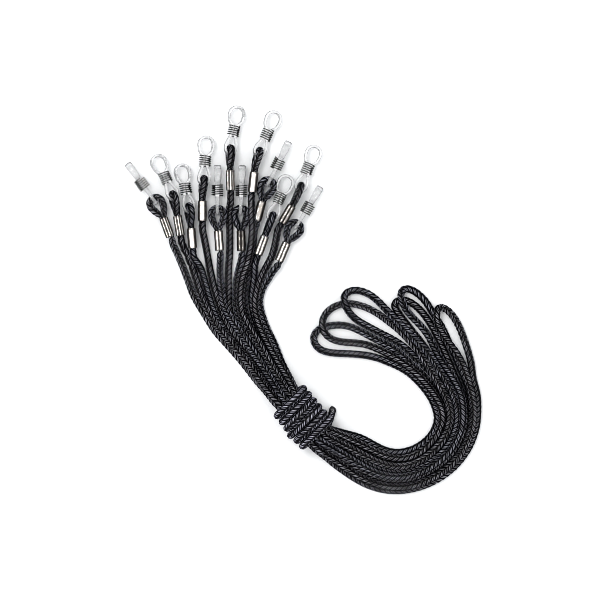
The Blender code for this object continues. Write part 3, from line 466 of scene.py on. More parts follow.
def settle(start, cord, index, fixed, obstacle, clearance):
    """Moves the free points until cords that touch lie CORD_PITCH apart, the floor and the
    obstacles are respected and each cord stays smooth."""
    P = start.copy()
    free = (~fixed).astype(float)
    link = np.where(cord[1:] == cord[:-1])[0]
    rest = np.linalg.norm(P[link + 1] - P[link], axis=1)
    inner = np.array([i for i in range(2, len(P) - 2) if cord[i - 2] == cord[i + 2]])
    for step in range(SETTLE_STEPS):
        if step % SEARCH_EVERY == 0:
            first, second = cord_pairs(P, cord, index, fixed)
            d2 = ((P[:, None, :] - obstacle[None, :, :]) ** 2).sum(2)
            point, block = np.where(d2 < (clearance[None, :] + OBSTACLE_MARGIN) ** 2)
            keep = ~fixed[point]
            point, block = point[keep], block[keep]
        if step <= SETTLE_STEPS - CALM_STEPS:
            P[:, 2] -= SINK * free
            P[:, :2] += (start[:, :2] - P[:, :2]) * HOME * free[:, None]
            mid = (P[inner - 1] + P[inner + 1]) * 0.5
            wide = (P[inner - 2] + P[inner + 2]) * 0.5
            P[inner] += ((mid - P[inner]) * NEAR_SMOOTHING
                         + (wide - P[inner]) * WIDE_SMOOTHING) * free[inner, None]
        elif step % CALM_EVERY == 0:
            mid = (P[inner - 1] + P[inner + 1]) * 0.5
            P[inner] += (mid - P[inner]) * CALM_SMOOTHING * free[inner, None]
        # segment lengths
        d = P[link + 1] - P[link]
        length = np.linalg.norm(d, axis=1)
        share = np.maximum(free[link] + free[link + 1], 1.0)
        c = ((length - rest) / np.maximum(length, 1e-9) * STRETCH / share)[:, None] * d
        np.add.at(P, link, c * free[link, None])
        np.add.at(P, link + 1, -c * free[link + 1, None])
        # cord against cord, then cord against the obstacles, then the floor
        for _ in range(2):
            d, length, short = overlaps(P[first], P[second], CORD_PITCH)
            m = short > 0
            i, j, d, length, short = first[m], second[m], d[m], length[m], short[m]
            share = np.maximum(free[i] + free[j], 1.0)
            c = d / np.maximum(length, 1e-6)[:, None] * (short / share * CORD_PUSH)[:, None]
            np.add.at(P, i, c * free[i, None])
            np.add.at(P, j, -c * free[j, None])
            d, length, short = overlaps(P[point], obstacle[block], clearance[block])
            m = short > 0
            c = (d[m] / np.maximum(length[m], 1e-6)[:, None]
                 * (short[m] * OBSTACLE_PUSH)[:, None])
            np.add.at(P, point[m], c)
            P[(P[:, 2] < FLOOR) & ~fixed, 2] = FLOOR
    return P


def obstacles():
    """Points of ferrules, eyes and connectors, and the clearance cords keep from each."""
    found = []
    for end in ALL_ENDS:
        for x in np.arange(-FERRULE_LENGTH + 0.6, 0.0, 1.2):
            found.append((end.place(x, 0, 0), FERRULE_OUT + CORD_R + 0.45))
        for point in resample(eye_path(end)[0][4:-6], 1.0):
            found.append((point, CORD_PITCH))
        along, _, side = end.connector_axes()
        origin = end.connector_origin()
        for x in np.arange(0.0, REACH + 4.0, 1.2):
            wide = 2.2 if x < 10.0 else 3.0
            for offset in (-wide, 0.0, wide):
                found.append((origin + along * x + side * offset, CORD_R + 1.75))
    return np.array([point for point, _ in found]), np.array([gap for _, gap in found])


def strap_start(outer, inner, outer_eye, inner_eye, loop):
    """Unsettled points of a strap between its two eyes, and which of them are fixed."""
    body = through([outer_eye[-2], outer_eye[-1]] + lane_points(outer) + list(loop)
                   + lane_points(inner)[::-1] + [inner_eye[-1], inner_eye[-2]])
    # keep only what lies between the two ends' own last points
    reach = 60
    first = int(np.argmin(((body - outer_eye[-1]) ** 2).sum(1)[:reach]))
    last = len(body) - reach + int(np.argmin(((body - inner_eye[-1]) ** 2).sum(1)[-reach:]))
    middle = resample(body[first:last + 1], STEP)
    along = (middle - KNOT_FOOT) @ KNOT_AXIS
    near = np.linalg.norm(middle[:, :2] - np.array(KNOT), axis=1)
    fixed = (np.abs(along) < KNOT_HALF + 0.4) & (near < KNOT_HALF + 7.0)
    fixed[:2] = True
    fixed[-2:] = True
    return middle, fixed


def tie_start():
    """Unsettled points of the tie; only its loose end is free."""
    path, helix_count = tie_path()
    points = resample(through(path, 0.5), STEP)
    helix_length = arc_length(through(path[:helix_count], 0.5))[-1]
    return points, arc_length(points) < helix_length - 1.0


def build_cords():
    """Settled cords, the six straps and then the tie: line, press, eye normals and the
    numbers of the points where the first eye ends and the second begins."""
    eyes = [(eye_path(ALL_ENDS[outer]), eye_path(ALL_ENDS[inner])) for outer, inner in LANES]
    starts = [strap_start(*lanes, a[0], b[0], loop)
              for lanes, (a, b), loop in zip(LANES, eyes, LOOPS)]
    starts.append(tie_start())
    cord = np.concatenate([np.full(len(p), c) for c, (p, _) in enumerate(starts)])
    index = np.concatenate([np.arange(len(p)) for p, _ in starts])
    fixed = np.concatenate([held for _, held in starts])
    settled = settle(np.vstack([p for p, _ in starts]), cord, index, fixed, *obstacles())
    cords = []
    for c, ((line_a, press_a, normal_a), (line_b, press_b, normal_b)) in enumerate(eyes):
        middle = settled[cord == c]
        line = np.vstack([line_a[:-1], middle, line_b[:-1][::-1]])
        press = np.concatenate([press_a[:-1], np.zeros(len(middle)), press_b[:-1][::-1]])
        normal = np.vstack([normal_a[:-1], np.repeat(normal_a[-1:], len(middle), 0),
                            normal_b[:-1][::-1]])
        cords.append((line, press, normal, len(line_a) - 2, len(line) - len(line_b) + 1))
    tie = settled[cord == TIE]
    cords.append((tie, np.zeros(len(tie)), np.repeat(KNOT_AXIS[None], len(tie), 0),
                  0, len(tie)))
    return cords


def frames(line, normal, first, last):
    """Tangents and binormals of a line. On the eyes, up to point first and from point last,
    the binormal is the given normal; between them it is carried along without twist, and
    the turn left over is spread along the strand."""
    plain = 40.0             # length next to each eye that takes no share of that turn
    t = np.zeros_like(line)
    t[1:-1] = line[2:] - line[:-2]
    t[0], t[-1] = line[1] - line[0], line[-1] - line[-2]
    t /= np.linalg.norm(t, axis=1)[:, None]
    b = normal - t * (normal * t).sum(1)[:, None]
    b /= np.linalg.norm(b, axis=1)[:, None]
    for i in range(first + 1, min(last + 1, len(line))):
        # the smallest rotation that takes one tangent to the next
        w, c = np.cross(t[i - 1], t[i]), float(t[i - 1] @ t[i])
        v = b[i - 1]
        v = v + np.cross(w, v) + np.cross(w, np.cross(w, v)) / (1.0 + c)
        wanted = b[i].copy()
        b[i] = unit(v - t[i] * (v @ t[i]))
        if i == last:
            angle = math.atan2(wanted @ np.cross(t[i], b[i]), wanted @ b[i])
            if abs(angle) > math.pi / 2:
                angle -= math.copysign(math.pi, angle)
                b[last + 1:] *= -1.0
            s = arc_length(line)
            part = slice(first, last + 1)
            f = (s[part] - s[first] - plain) / (s[last] - s[first] - 2 * plain)
            f = np.clip(f, 0.0, 1.0)[:, None]
            side = np.cross(t[part], b[part])
            b[part] = b[part] * np.cos(angle * f) + side * np.sin(angle * f)
    return t, b


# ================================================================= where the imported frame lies
def find_shift():
    """Design frame to row frame (m), from the corners of one ferrule."""
    end = ALL_ENDS[4]
    points = []
    for x in (-FERRULE_LENGTH, 0.0):
        for j in range(8):
            a = 2 * math.pi * (j + 0.5) / 8
            ca, sa = math.cos(a), math.sin(a)
            radius = FERRULE_OUT * rounded_square(ca, sa, 5)
            points.append(end.place(x, radius * ca, radius * sa))
    points = np.array(points) * MM
    lo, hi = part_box("ferrule_05")
    return (np.array(lo) - points.min(0) + np.array(hi) - points.max(0)) / 2


SHIFT = find_shift()


def row_point(p):
    """Points of the design frame (mm) in the row frame (m)."""
    return np.asarray(p, float) * MM + SHIFT


# ================================================================================ mesh helpers
def build(name, verts, faces, material, body, node, attributes, sharp=None):
    """One closed piece from vertex rows (mm) and arrays of faces with equal side counts."""
    mesh = bpy.data.meshes.new(name)
    v = row_point(verts)
    counts = np.concatenate([np.full(len(f), f.shape[1]) for f in faces])
    loops = np.concatenate([f.ravel() for f in faces]).astype(np.int32)
    starts = np.concatenate([[0], np.cumsum(counts)[:-1]]).astype(np.int32)
    mesh.vertices.add(len(v))
    mesh.vertices.foreach_set("co", v.astype(np.float32).ravel())
    mesh.loops.add(len(loops))
    mesh.loops.foreach_set("vertex_index", loops)
    mesh.polygons.add(len(counts))
    mesh.polygons.foreach_set("loop_start", starts)
    mesh.update(calc_edges=True)
    mesh.validate()
    # turn the faces outwards if the enclosed volume comes out negative
    mesh.calc_loop_triangles()
    tri = np.empty(len(mesh.loop_triangles) * 3, np.int32)
    mesh.loop_triangles.foreach_get("vertices", tri)
    tri = tri.reshape(-1, 3)
    c = v - v.mean(0)
    if np.einsum("ij,ij->i", c[tri[:, 0]], np.cross(c[tri[:, 1]], c[tri[:, 2]])).sum() < 0:
        mesh.flip_normals()
    for key, (kind, data) in attributes.items():
        attribute = mesh.attributes.new(key, kind, "POINT")
        attribute.data.foreach_set("vector" if kind == "FLOAT_VECTOR" else "value",
                                   np.asarray(data, np.float32).ravel())
    mesh.shade_smooth()
    if sharp:
        mesh.set_sharp_from_angle(angle=math.radians(sharp))
    ob = bpy.data.objects.new(name, mesh)
    bpy.context.scene.collection.objects.link(ob)
    mesh.materials.append(material)
    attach(ob, body)
    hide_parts(node)
    return ob


def tube_faces(rings, sides):
    """Quads of a tube, closed round each ring."""
    i = np.arange(rings - 1)[:, None] * sides
    j = np.arange(sides)[None, :]
    a, b = i + j, i + (j + 1) % sides
    return np.stack([a, b, b + sides, a + sides], -1).reshape(-1, 4)


def capped_tube(rings, sides):
    """Faces of a tube whose ends close on two more vertices, numbered after the rings."""
    ring = np.arange(sides)
    after = np.roll(ring, -1)
    centre = np.full(sides, rings * sides)
    last = (rings - 1) * sides
    return [tube_faces(rings, sides),
            np.vstack([np.stack([after, ring, centre], -1),
                       np.stack([ring + last, after + last, centre + 1], -1)])]


def sweep(line, axis_a, reach_a, axis_b, reach_b):
    """Vertex rows of rings set square on a line; the reaches are given ring by side."""
    return (line[:, None] + axis_a[:, None] * reach_a[..., None]
            + axis_b[:, None] * reach_b[..., None]).reshape(-1, 3)


# ============================================================================ the braid's shape
LAY = 8.6                # length over which one yarn turns once round the cord
CARRIERS = 4             # yarns that turn each way
HALF_GAP = math.pi / CARRIERS  # half the angle from one yarn to the next
YARN_SWING = 0.16        # how far a yarn moves in and out as it goes over and under
SWING_GAIN = 1.5         # makes the crossings quick: the swing is cut off at its limits
YARN_CROWN = 0.50        # height of a yarn's rounded back
YARN_FILL = 0.975        # how much of its place a yarn's half circle fills
BRAID_BASE = 0.93        # radius below the relief
BRAID_R = 1.5            # nominal radius that the relief is scaled to
MELTED_R = 1.40          # radius of melted yarn on the same scale
RING_STEP = 0.30
RING_SIDES = 24


def relief(theta, s):
    """Height of an eight-strand braid, each yarn over two and under two, at angle theta and
    distance s along the cord."""
    def crown(angle):
        d = ((angle + HALF_GAP) % (2 * HALF_GAP) - HALF_GAP) / HALF_GAP
        return YARN_CROWN * np.sqrt(1 - (d * YARN_FILL) ** 2)

    turn = 2 * math.pi / LAY * s
    wave = YARN_SWING * np.clip(SWING_GAIN * np.cos(2 * theta - math.pi / 4), -1, 1)
    right = wave + crown(theta - turn)
    left = -wave + crown(theta + turn)
    soft = 0.03              # rounds the groove where two yarns meet
    top = np.maximum(right, left)
    return top + soft * np.log(np.exp((right - top) / soft) + np.exp((left - top) / soft))


def refine(line, press, normal, first, last):
    """A dense, even version of a settled cord, in the same form."""
    p = line.copy()
    has_eyes = last < len(p)
    a, b = (first + 3, last - 3) if has_eyes else (1, len(p) - 2)
    for _ in range(4):
        p[a:b] += ((p[a - 1:b - 1] + p[a + 1:b + 1]) / 2 - p[a:b]) * 0.3
    dense = through(p, 0.15)
    s_dense = arc_length(dense)
    s = arc_length(p)
    s = s * (s_dense[-1] / s[-1])
    count = max(int(round(s_dense[-1] / RING_STEP)), 2)
    t = np.linspace(0, s_dense[-1], count + 1)
    ends = (0, count + 1)
    if has_eyes:
        ends = (int(np.searchsorted(t, s[first])), int(np.searchsorted(t, s[last])))
    return (interpolate(t, s_dense, dense), np.interp(t, s, press),
            interpolate(t, s, normal), *ends)


def braid_cord(name, cord, seed, fused, material, node):
    """A braided cord swept along its line; fused ends are melted into a round nub."""
    line, press, normal, first, last = refine(*cord)
    s = arc_length(line)
    t, b = frames(line, normal, first, last)
    # half-sizes of the section along the binormal and square to it
    half_b = BRAID_R * (1 - press) + (LEG_WIDE - 0.02) * press
    half_m = BRAID_R * (1 - press) + (LEG_HALF - 0.03) * press
    around = 2 * math.pi * (np.arange(RING_SIDES) + 0.5) / RING_SIDES
    # the braid wanders a little round and along the cord
    drift = seed * 1.7 + 0.0045 * s + 0.35 * np.sin(s / 41.0 + seed * 2.1)
    lay = s + 1.1 * np.sin(s / 57.0 + seed)
    angle = around[None, :] + drift[:, None]
    to_end = np.minimum(s, s[-1] - s)
    end_size = np.sqrt(np.clip(1 - (1 - np.clip(to_end / 1.0, 0, 1)) ** 2, 0.06, 1))
    kept = np.ones(len(line))        # share of the relief that is not melted away
    if fused:
        kept = np.clip((to_end - 0.8) / 2.2, 0.12, 1)
        end_size = end_size * (1 + 0.07 * np.exp(-((to_end - 1.1) / 0.8) ** 2))
    melted = MELTED_R - BRAID_BASE
    height = melted + (relief(angle, lay[:, None]) - melted) * kept[:, None]
    scale = (BRAID_BASE + height) / BRAID_R * end_size[:, None]
    rings = sweep(line, b, half_b[:, None] * scale * np.sin(around),
                  np.cross(b, t), half_m[:, None] * scale * np.cos(around))
    tips = [line[:1] - t[:1] * 0.03, line[-1:] + t[-1:] * 0.03]
    where = np.stack([np.cos(angle), np.sin(angle), np.repeat(lay[:, None], RING_SIDES, 1)], -1)
    where = np.vstack([where.reshape(-1, 3), [[1, 0, lay[0]]], [[1, 0, lay[-1]]]])
    melt = np.concatenate([np.repeat(1 - kept, RING_SIDES), [1, 1] if fused else [0, 0]])
    build(name, np.vstack([rings, *tips]), capped_tube(len(line), RING_SIDES), material,
          "hank", node,
          {"braid": ("FLOAT_VECTOR", where), "melt": ("FLOAT", melt)})


# ============================================================================== material nodes
class Nodes:
    """Short calls for building a node tree. Colours are given as three numbers."""

    def __init__(self, owner):
        owner.use_nodes = True
        self.tree = owner.node_tree

    def new(self, kind, **props):
        node = self.tree.nodes.new(kind)
        for key, value in props.items():
            setattr(node, key, value)
        return node

    def put(self, socket, value):
        if isinstance(value, bpy.types.NodeSocket):
            self.tree.links.new(value, socket)
        elif isinstance(value, tuple):
            socket.default_value = (*value, 1.0)
        else:
            socket.default_value = value

    def fill(self, node, values):
        """Sets or links inputs, given by name or number."""
        for key, value in values.items():
            self.put(node.inputs[key], value)
        return node

    def surface(self, values):
        self.fill(self.tree.nodes["Principled BSDF"], values)

    def math(self, operation, *values):
        node = self.new("ShaderNodeMath", operation=operation)
        return self.fill(node, dict(enumerate(values))).outputs[0]

    def times(self, a, b):
        return self.math("MULTIPLY", a, b)

    def plus(self, a, b):
        return self.math("ADD", a, b)

    def minus(self, a, b):
        return self.math("SUBTRACT", a, b)

    def mix(self, factor, a, b):
        node = self.new("ShaderNodeMix", data_type="FLOAT")
        return self.fill(node, {0: factor, 2: a, 3: b}).outputs[0]

    def colour(self, factor, a, b):
        node = self.new("ShaderNodeMix", data_type="RGBA")
        return self.fill(node, {0: factor, 6: a, 7: b}).outputs[2]

    def span(self, value, between, to=(0.0, 1.0)):
        """Maps the value from one range to another, held inside it."""
        node = self.new("ShaderNodeMapRange", clamp=True)
        return self.fill(node, dict(enumerate((value, *between, *to)))).outputs[0]

    def xyz(self, x, y, z):
        return self.fill(self.new("ShaderNodeCombineXYZ"), {0: x, 1: y, 2: z}).outputs[0]

    def split(self, vector):
        return self.fill(self.new("ShaderNodeSeparateXYZ"), {0: vector}).outputs

    def noise(self, vector, detail=2.0, rough=0.5):
        node = self.new("ShaderNodeTexNoise")
        return self.fill(node, {"Vector": vector, "Scale": 1.0, "Detail": detail,
                                "Roughness": rough}).outputs["Fac"]

    def bump(self, height, distance, strength):
        return self.fill(self.new("ShaderNodeBump"), {
            "Strength": strength, "Distance": distance, "Height": height}).outputs[0]

    def where(self, scale):
        """Object-space position in millimetres times a scale."""
        position = self.new("ShaderNodeTexCoord").outputs["Object"]
        node = self.new("ShaderNodeVectorMath", operation="SCALE")
        return self.fill(node, {0: position, "Scale": 1000.0 * scale}).outputs[0]

    def attribute(self, name, output="Fac"):
        return self.new("ShaderNodeAttribute", attribute_name=name).outputs[output]

    def facing(self, blend):
        return self.fill(self.new("ShaderNodeLayerWeight"), {"Blend": blend}).outputs["Facing"]

    def reflected(self, light_path):
        """1 for rays mirrored off a surface, 0 for all others."""
        direct = self.minus(1.0, light_path.outputs["Is Transmission Ray"])
        return self.times(light_path.outputs["Is Glossy Ray"], direct)


# Every carrier lays two yarns side by side: their middles and half-width across its place.
TWIN_AT, TWIN_HALF = 0.39, 0.24
SHINE = 0.75             # how strongly the yarns' backs reflect
MELTED_COLOUR = (0.008, 0.008, 0.010)


def cord_material(name, dark, light, seed):
    """Black nylon: filaments along each yarn, dark gaps, soft sheen, painted highlights on the
    yarn backs.
    """
    material = bpy.data.materials.new(name)
    N = Nodes(material)
    cosine, sine, s = N.split(N.attribute("braid", "Vector"))
    theta = N.math("ARCTAN2", sine, cosine)
    turn = N.times(s, 2 * math.pi / LAY)

    def yarn_place(angle):
        """-1 to 1 across a yarn."""
        return N.math("DIVIDE", N.math("WRAP", angle, HALF_GAP, -HALF_GAP), HALF_GAP)

    def crown(d):
        square = N.times(N.times(d, YARN_FILL), N.times(d, YARN_FILL))
        return N.times(N.math("SQRT", N.math("MAXIMUM", N.minus(1.0, square), 0.0)), YARN_CROWN)

    # the same relief as the mesh
    place_right = yarn_place(N.minus(theta, turn))
    place_left = yarn_place(N.plus(theta, turn))
    over = N.math("COSINE", N.math("MULTIPLY_ADD", theta, 2.0, -math.pi / 4))
    wave = N.times(over, SWING_GAIN)
    wave = N.math("MINIMUM", N.math("MAXIMUM", wave, -1.0), 1.0)
    swing = N.times(wave, YARN_SWING)
    high_right = N.plus(crown(place_right), swing)
    high_left = N.minus(crown(place_left), swing)
    right = N.math("GREATER_THAN", high_right, high_left)
    across = N.mix(right, place_left, place_right)
    high = N.math("MAXIMUM", high_right, high_left)
    top = N.span(high, between=(0.20, YARN_SWING + YARN_CROWN))
    melt = N.attribute("melt")

    # filaments are narrow across the yarn and long along the cord; each way has its own
    across_scale, along_scale, way_offset = 5.5, 0.45, 9.0
    filament = N.noise(N.xyz(N.times(across, across_scale), N.times(s, along_scale),
                             N.math("MULTIPLY_ADD", right, way_offset, seed)),
                       detail=3.0, rough=0.6)
    patch = N.noise(N.where(scale=0.06))
    grain = N.noise(N.where(scale=3.2), detail=1.0)

    # the narrow backs of the twin yarns get the painted highlight and the most shine
    off = N.math("DIVIDE", N.minus(N.math("ABSOLUTE", across), TWIN_AT), TWIN_HALF)
    ridge = N.math("MAXIMUM", N.minus(1.0, N.times(off, off)), 0.0)
    painted_highlight_mask = N.times(N.span(top, between=(0.66, 0.84)), ridge)
    # painted highlight: the light colour on the yarn backs, broken up by filaments, patches, the
    # middle of each float and a slow noise
    painted_light_tone = N.times(N.span(filament, between=(0.25, 0.72), to=(0.35, 1.0)), painted_highlight_mask)
    painted_light_tone = N.times(painted_light_tone, N.span(patch, between=(0.3, 0.7), to=(0.80, 1.15)))
    painted_light_tone = N.times(painted_light_tone, N.span(N.math("ABSOLUTE", over), between=(0.45, 0.90), to=(0.08, 1.0)))
    turned = N.noise(N.where(scale=0.42), detail=1.0)
    painted_light_tone = N.times(painted_light_tone, N.span(turned, between=(0.34, 0.66), to=(0.22, 1.25)))
    gap_power = 1.3
    gap = N.math("POWER", N.span(top, between=(0.55, 0.86)), gap_power)
    gap = N.times(gap, N.span(ridge, between=(0.0, 0.8), to=(0.02, 1.35)))
    gap = N.math("MAXIMUM", gap, melt)
    # base colour: the nylon's own black, with the painted highlight colour laid on the yarn
    # backs; melted yarn is plain black
    colour = N.colour(melt, N.colour(painted_light_tone, dark, light), MELTED_COLOUR)
    rough = N.plus(N.span(filament, between=(0.2, 0.8), to=(0.26, 0.42)),
                   N.span(grain, between=(0.3, 0.7), to=(0.0, 0.08)))
    melted_rough = 0.3
    rough = N.mix(melt, rough, melted_rough)
    face = N.span(N.facing(blend=0.5), between=(0.18, 0.62), to=(1.0, 0.0))
    specular = N.times(N.times(gap, face), SHINE)
    filament_height, grain_height, yarn_height = 0.7, 0.15, 1.4
    height = N.plus(N.times(filament, filament_height), N.times(grain, grain_height))
    height = N.plus(height, N.times(top, yarn_height))
    N.surface({
        "Base Color": colour, "Roughness": rough, "IOR": 1.53, "Specular IOR Level": specular,
        "Sheen Weight": 0.004, "Sheen Roughness": 0.5, "Sheen Tint": (0.6, 0.66, 0.8),
        "Normal": N.bump(height, distance=0.00012, strength=0.6)})
    return material


def metal_material(name, base, rough, seed):
    """Plated metal: fine drawn scratches, blotches, and painted shade and painted dark
    reflections where the piece marks them.
    """
    material = bpy.data.materials.new(name)
    N = Nodes(material)
    along, around, painted_shade_share = N.split(N.attribute("along", "Vector"))
    around_scale, along_scale = 9.0, 0.35        # the scratches run along the piece
    streak = N.noise(N.xyz(N.times(around, around_scale), N.times(along, along_scale), seed),
                     detail=3.0, rough=0.6)
    blotch = N.noise(N.where(scale=0.55), detail=3.0, rough=0.6)
    speck = N.noise(N.where(scale=4.0), detail=2.0, rough=0.7)
    # painted shade and painted dark reflection lines: darker and rougher where the piece's third
    # 'along' value is high, a little uneven with the blotches
    painted_shade_and_reflection = N.times(painted_shade_share, N.span(blotch, between=(0.25, 0.7), to=(0.86, 1.0)))
    tarnish = (base[0] * 0.93, base[1] * 0.89, base[2] * 0.82)
    painted_shade_colour = (0.014, 0.012, 0.011)
    colour = N.colour(N.span(blotch, between=(0.35, 0.7)), base, tarnish)
    colour = N.colour(painted_shade_and_reflection, colour, painted_shade_colour)
    painted_shade_rough, speck_rough = 0.35, 0.05         # what each adds to the roughness
    roughness = N.plus(N.span(streak, between=(0.3, 0.7), to=(rough * 0.75, rough * 1.35)),
                       N.times(painted_shade_and_reflection, painted_shade_rough))
    roughness = N.plus(roughness, N.times(N.span(speck, between=(0.55, 0.75)), speck_rough))
    share = 0.5              # of each noise in the bump
    height = N.plus(N.times(streak, share), N.times(blotch, share))
    N.surface({"Base Color": colour, "Metallic": 1.0, "Roughness": roughness,
               "Normal": N.bump(height, distance=0.00002, strength=0.35)})
    return material


def silicone_material(name):
    """Clear silicone with a slight haze; grey shade is painted at its edges, where light leaves
    sideways.
    """
    material = bpy.data.materials.new(name)
    N = Nodes(material)
    facing = N.facing(blend=0.45)
    haze = N.noise(N.where(scale=0.5), detail=3.0, rough=0.6)
    edge_power = 1.3
    clear_colour, painted_edge_shade = (0.93, 0.93, 0.93), (0.33, 0.34, 0.36)
    # painted shade: the colour turns grey where the surface turns away from the view
    colour = N.colour(N.math("POWER", facing, edge_power), clear_colour, painted_edge_shade)
    # where the coil squeezes the two bands together they whiten
    pale = N.attribute("pale")
    pale_share, pale_colour = 0.9, (0.97, 0.97, 0.97)
    colour = N.colour(N.times(pale, pale_share), colour, pale_colour)
    rough = N.span(haze, between=(0.3, 0.7), to=(0.06, 0.16))
    clear_passes, pale_passes = 0.84, 0.22       # share of light let through
    passes = N.mix(pale, clear_passes, pale_passes)
    fine = N.noise(N.where(scale=1.6))
    fine_height = 0.3
    height = N.plus(haze, N.times(fine, fine_height))
    N.surface({"Base Color": colour, "Roughness": rough, "Transmission Weight": passes,
               "IOR": 1.41, "Normal": N.bump(height, distance=0.00008, strength=0.25)})
    return material


# ==================================================================================== ferrules
def ferrule(k, end, material):
    """Rolled sheet tube: rounded-square section, a seam along it, two crimps pressed in from
    the flats and rolled lips at both mouths."""
    sides = 64
    around = 2 * math.pi * (np.arange(sides) + 0.5) / sides
    ca, sa = np.cos(around), np.sin(around)
    square = rounded_square(ca, sa, 2.7)
    rim = np.array([0.0, 0.05, 0.14, 0.28, 0.45])
    x = np.concatenate([rim - FERRULE_LENGTH, np.linspace(-FERRULE_LENGTH + 0.7, -0.7, 34),
                        -rim[::-1]])
    near = np.minimum(x + FERRULE_LENGTH, -x)    # distance to the nearer mouth
    lip = (-0.16 * (1 - np.clip(near / 0.16, 0, 1)) ** 2
           + 0.05 * np.exp(-((near - 0.25) / 0.16) ** 2))
    crimp = sum(np.exp(-((x + FERRULE_LENGTH * share) / 0.62) ** 2) for share in (0.30, 0.70))
    flat = np.abs(sa) ** 3
    wobble = 0.03 * np.sin(x[:, None] * 0.9 + k) * np.cos(2 * around[None, :] + k)

    # one seam along the middle, a seam and a pressed line, or broad edges and a narrow flat;
    # seams and lines are grooves with painted dark reflection, broad edges are painted only
    fold = FOLDS[k]
    seam_at = {"middle": 14, "double": 11, "narrow": 15}[fold]
    seam = np.zeros(sides)
    if fold != "narrow":
        seam[seam_at:seam_at + 4] = 1.0
    if fold == "double":
        seam[seam_at + 8:seam_at + 11] = 0.95
    seam_dip = np.exp(-((np.arange(sides) - seam_at - 1.0) / 2.6) ** 2)
    if fold == "narrow":
        edge = np.exp(-((np.abs(ca) - 0.66) / 0.27) ** 4)
    else:
        edge = np.exp(-((np.abs(ca) - 0.76) / 0.16) ** 2)

    press = crimp[:, None] * (0.20 * flat[None, :] - 0.05 * (1 - flat[None, :]))
    outer = FERRULE_OUT * square[None, :] * 0.985 + lip[:, None] - press + wobble
    outer = outer - 0.17 * seam[None, :] - 0.05 * seam_dip[None, :]
    inner = (FERRULE_OUT - FERRULE_WALL) * square[None, :] * 0.985 - press * 0.8 + wobble
    inner = np.minimum(inner, outer - 0.12)
    mouth = np.exp(-((near - 0.42) / 0.10) ** 2)
    # painted shade in the crimps and just behind the rolled lips, painted dark reflection lines
    # on the seams and the edges
    painted_shade_and_reflection = np.clip(crimp[:, None] * flat[None, :] * 0.10 + seam[None, :]
                   + edge[None, :] + mouth[:, None] * 0.8, 0, 1)

    # rings run forward along the outside and back along the inside
    xs = np.concatenate([x, x[::-1]])
    radii = np.vstack([outer, inner[::-1]])
    # painted shade on the inside walls of the tube
    painted_shade_and_reflection = np.vstack([painted_shade_and_reflection, np.full_like(inner, 0.6)])
    verts, where = [], []
    for i in range(len(xs)):
        for j in range(sides):
            verts.append(end.place(xs[i], radii[i, j] * ca[j], radii[i, j] * sa[j]))
            where.append((xs[i], around[j] * FERRULE_OUT, painted_shade_and_reflection[i, j]))
    j = np.arange(sides)
    after = (j + 1) % sides
    last = (len(xs) - 1) * sides
    close = np.stack([last + j, last + after, after, j], -1)
    build("ferrule_%02d_crimped" % (k + 1), verts,
          [np.vstack([tube_faces(len(xs), sides), close])], material, "hank",
          "ferrule_%02d" % (k + 1), {"along": ("FLOAT_VECTOR", where)})


# ================================================================================ coil and loop
TIGHT_END = 9            # the end whose coil and front lobe pass close to a cord


def coil(k, end, material):
    """Round spring wire: open turns that close up towards both ends."""
    along, across, side = end.connector_axes()
    centre = end.connector_origin() + along * TO_COIL
    per_turn, sides, turns = 36, 10, 5.3
    count = int(turns * per_turn)
    u = np.linspace(0, 1, count + 1)
    closing = 0.7            # turns over which the pitch closes up at each end
    opened = np.clip(u * turns / closing, 0, 1) * np.clip((1 - u) * turns / closing, 0, 1)
    rate = 0.70 + 0.30 * opened
    s = np.concatenate([[0], np.cumsum((rate[1:] + rate[:-1]) / 2)])
    s = (s / s[-1] - 0.5) * COIL_LENGTH
    angle = 2 * math.pi * turns * u + 0.6 * k
    radial = across[None] * np.cos(angle)[:, None] + side[None] * np.sin(angle)[:, None]
    # wound a little tighter where, slid out, it passes close to a cord
    radius = COIL_R - (0.12 if k == TIGHT_END else 0.0)
    line = centre + along[None] * s[:, None] + radial * radius
    t = np.gradient(line, axis=0)
    t /= np.linalg.norm(t, axis=1)[:, None]
    around = 2 * math.pi * np.arange(sides) / sides
    wire = np.full(count + 1, WIRE_R)
    wire[[0, -1]] *= 0.8
    rings = sweep(line, radial, wire[:, None] * np.cos(around),
                  np.cross(t, radial), wire[:, None] * np.sin(around))
    # painted shade: darker colour on the side of each turn that faces into the coil, and a
    # little on the cut ends
    inner = np.clip(-np.cos(around), 0, 1) * 0.55
    where = np.stack([np.repeat(angle * COIL_R, sides), np.tile(around * WIRE_R, count + 1),
                      np.tile(inner, count + 1)], -1)
    where = np.vstack([where, [[0, 0, 0.3], [0, 0, 0.3]]])
    build("coil_%02d_wound" % (k + 1), np.vstack([rings, line[:1], line[-1:]]),
          capped_tube(count + 1, sides), material, "slider_%02d" % (k + 1),
          "coil_%02d" % (k + 1), {"along": ("FLOAT_VECTOR", where)}, sharp=60)


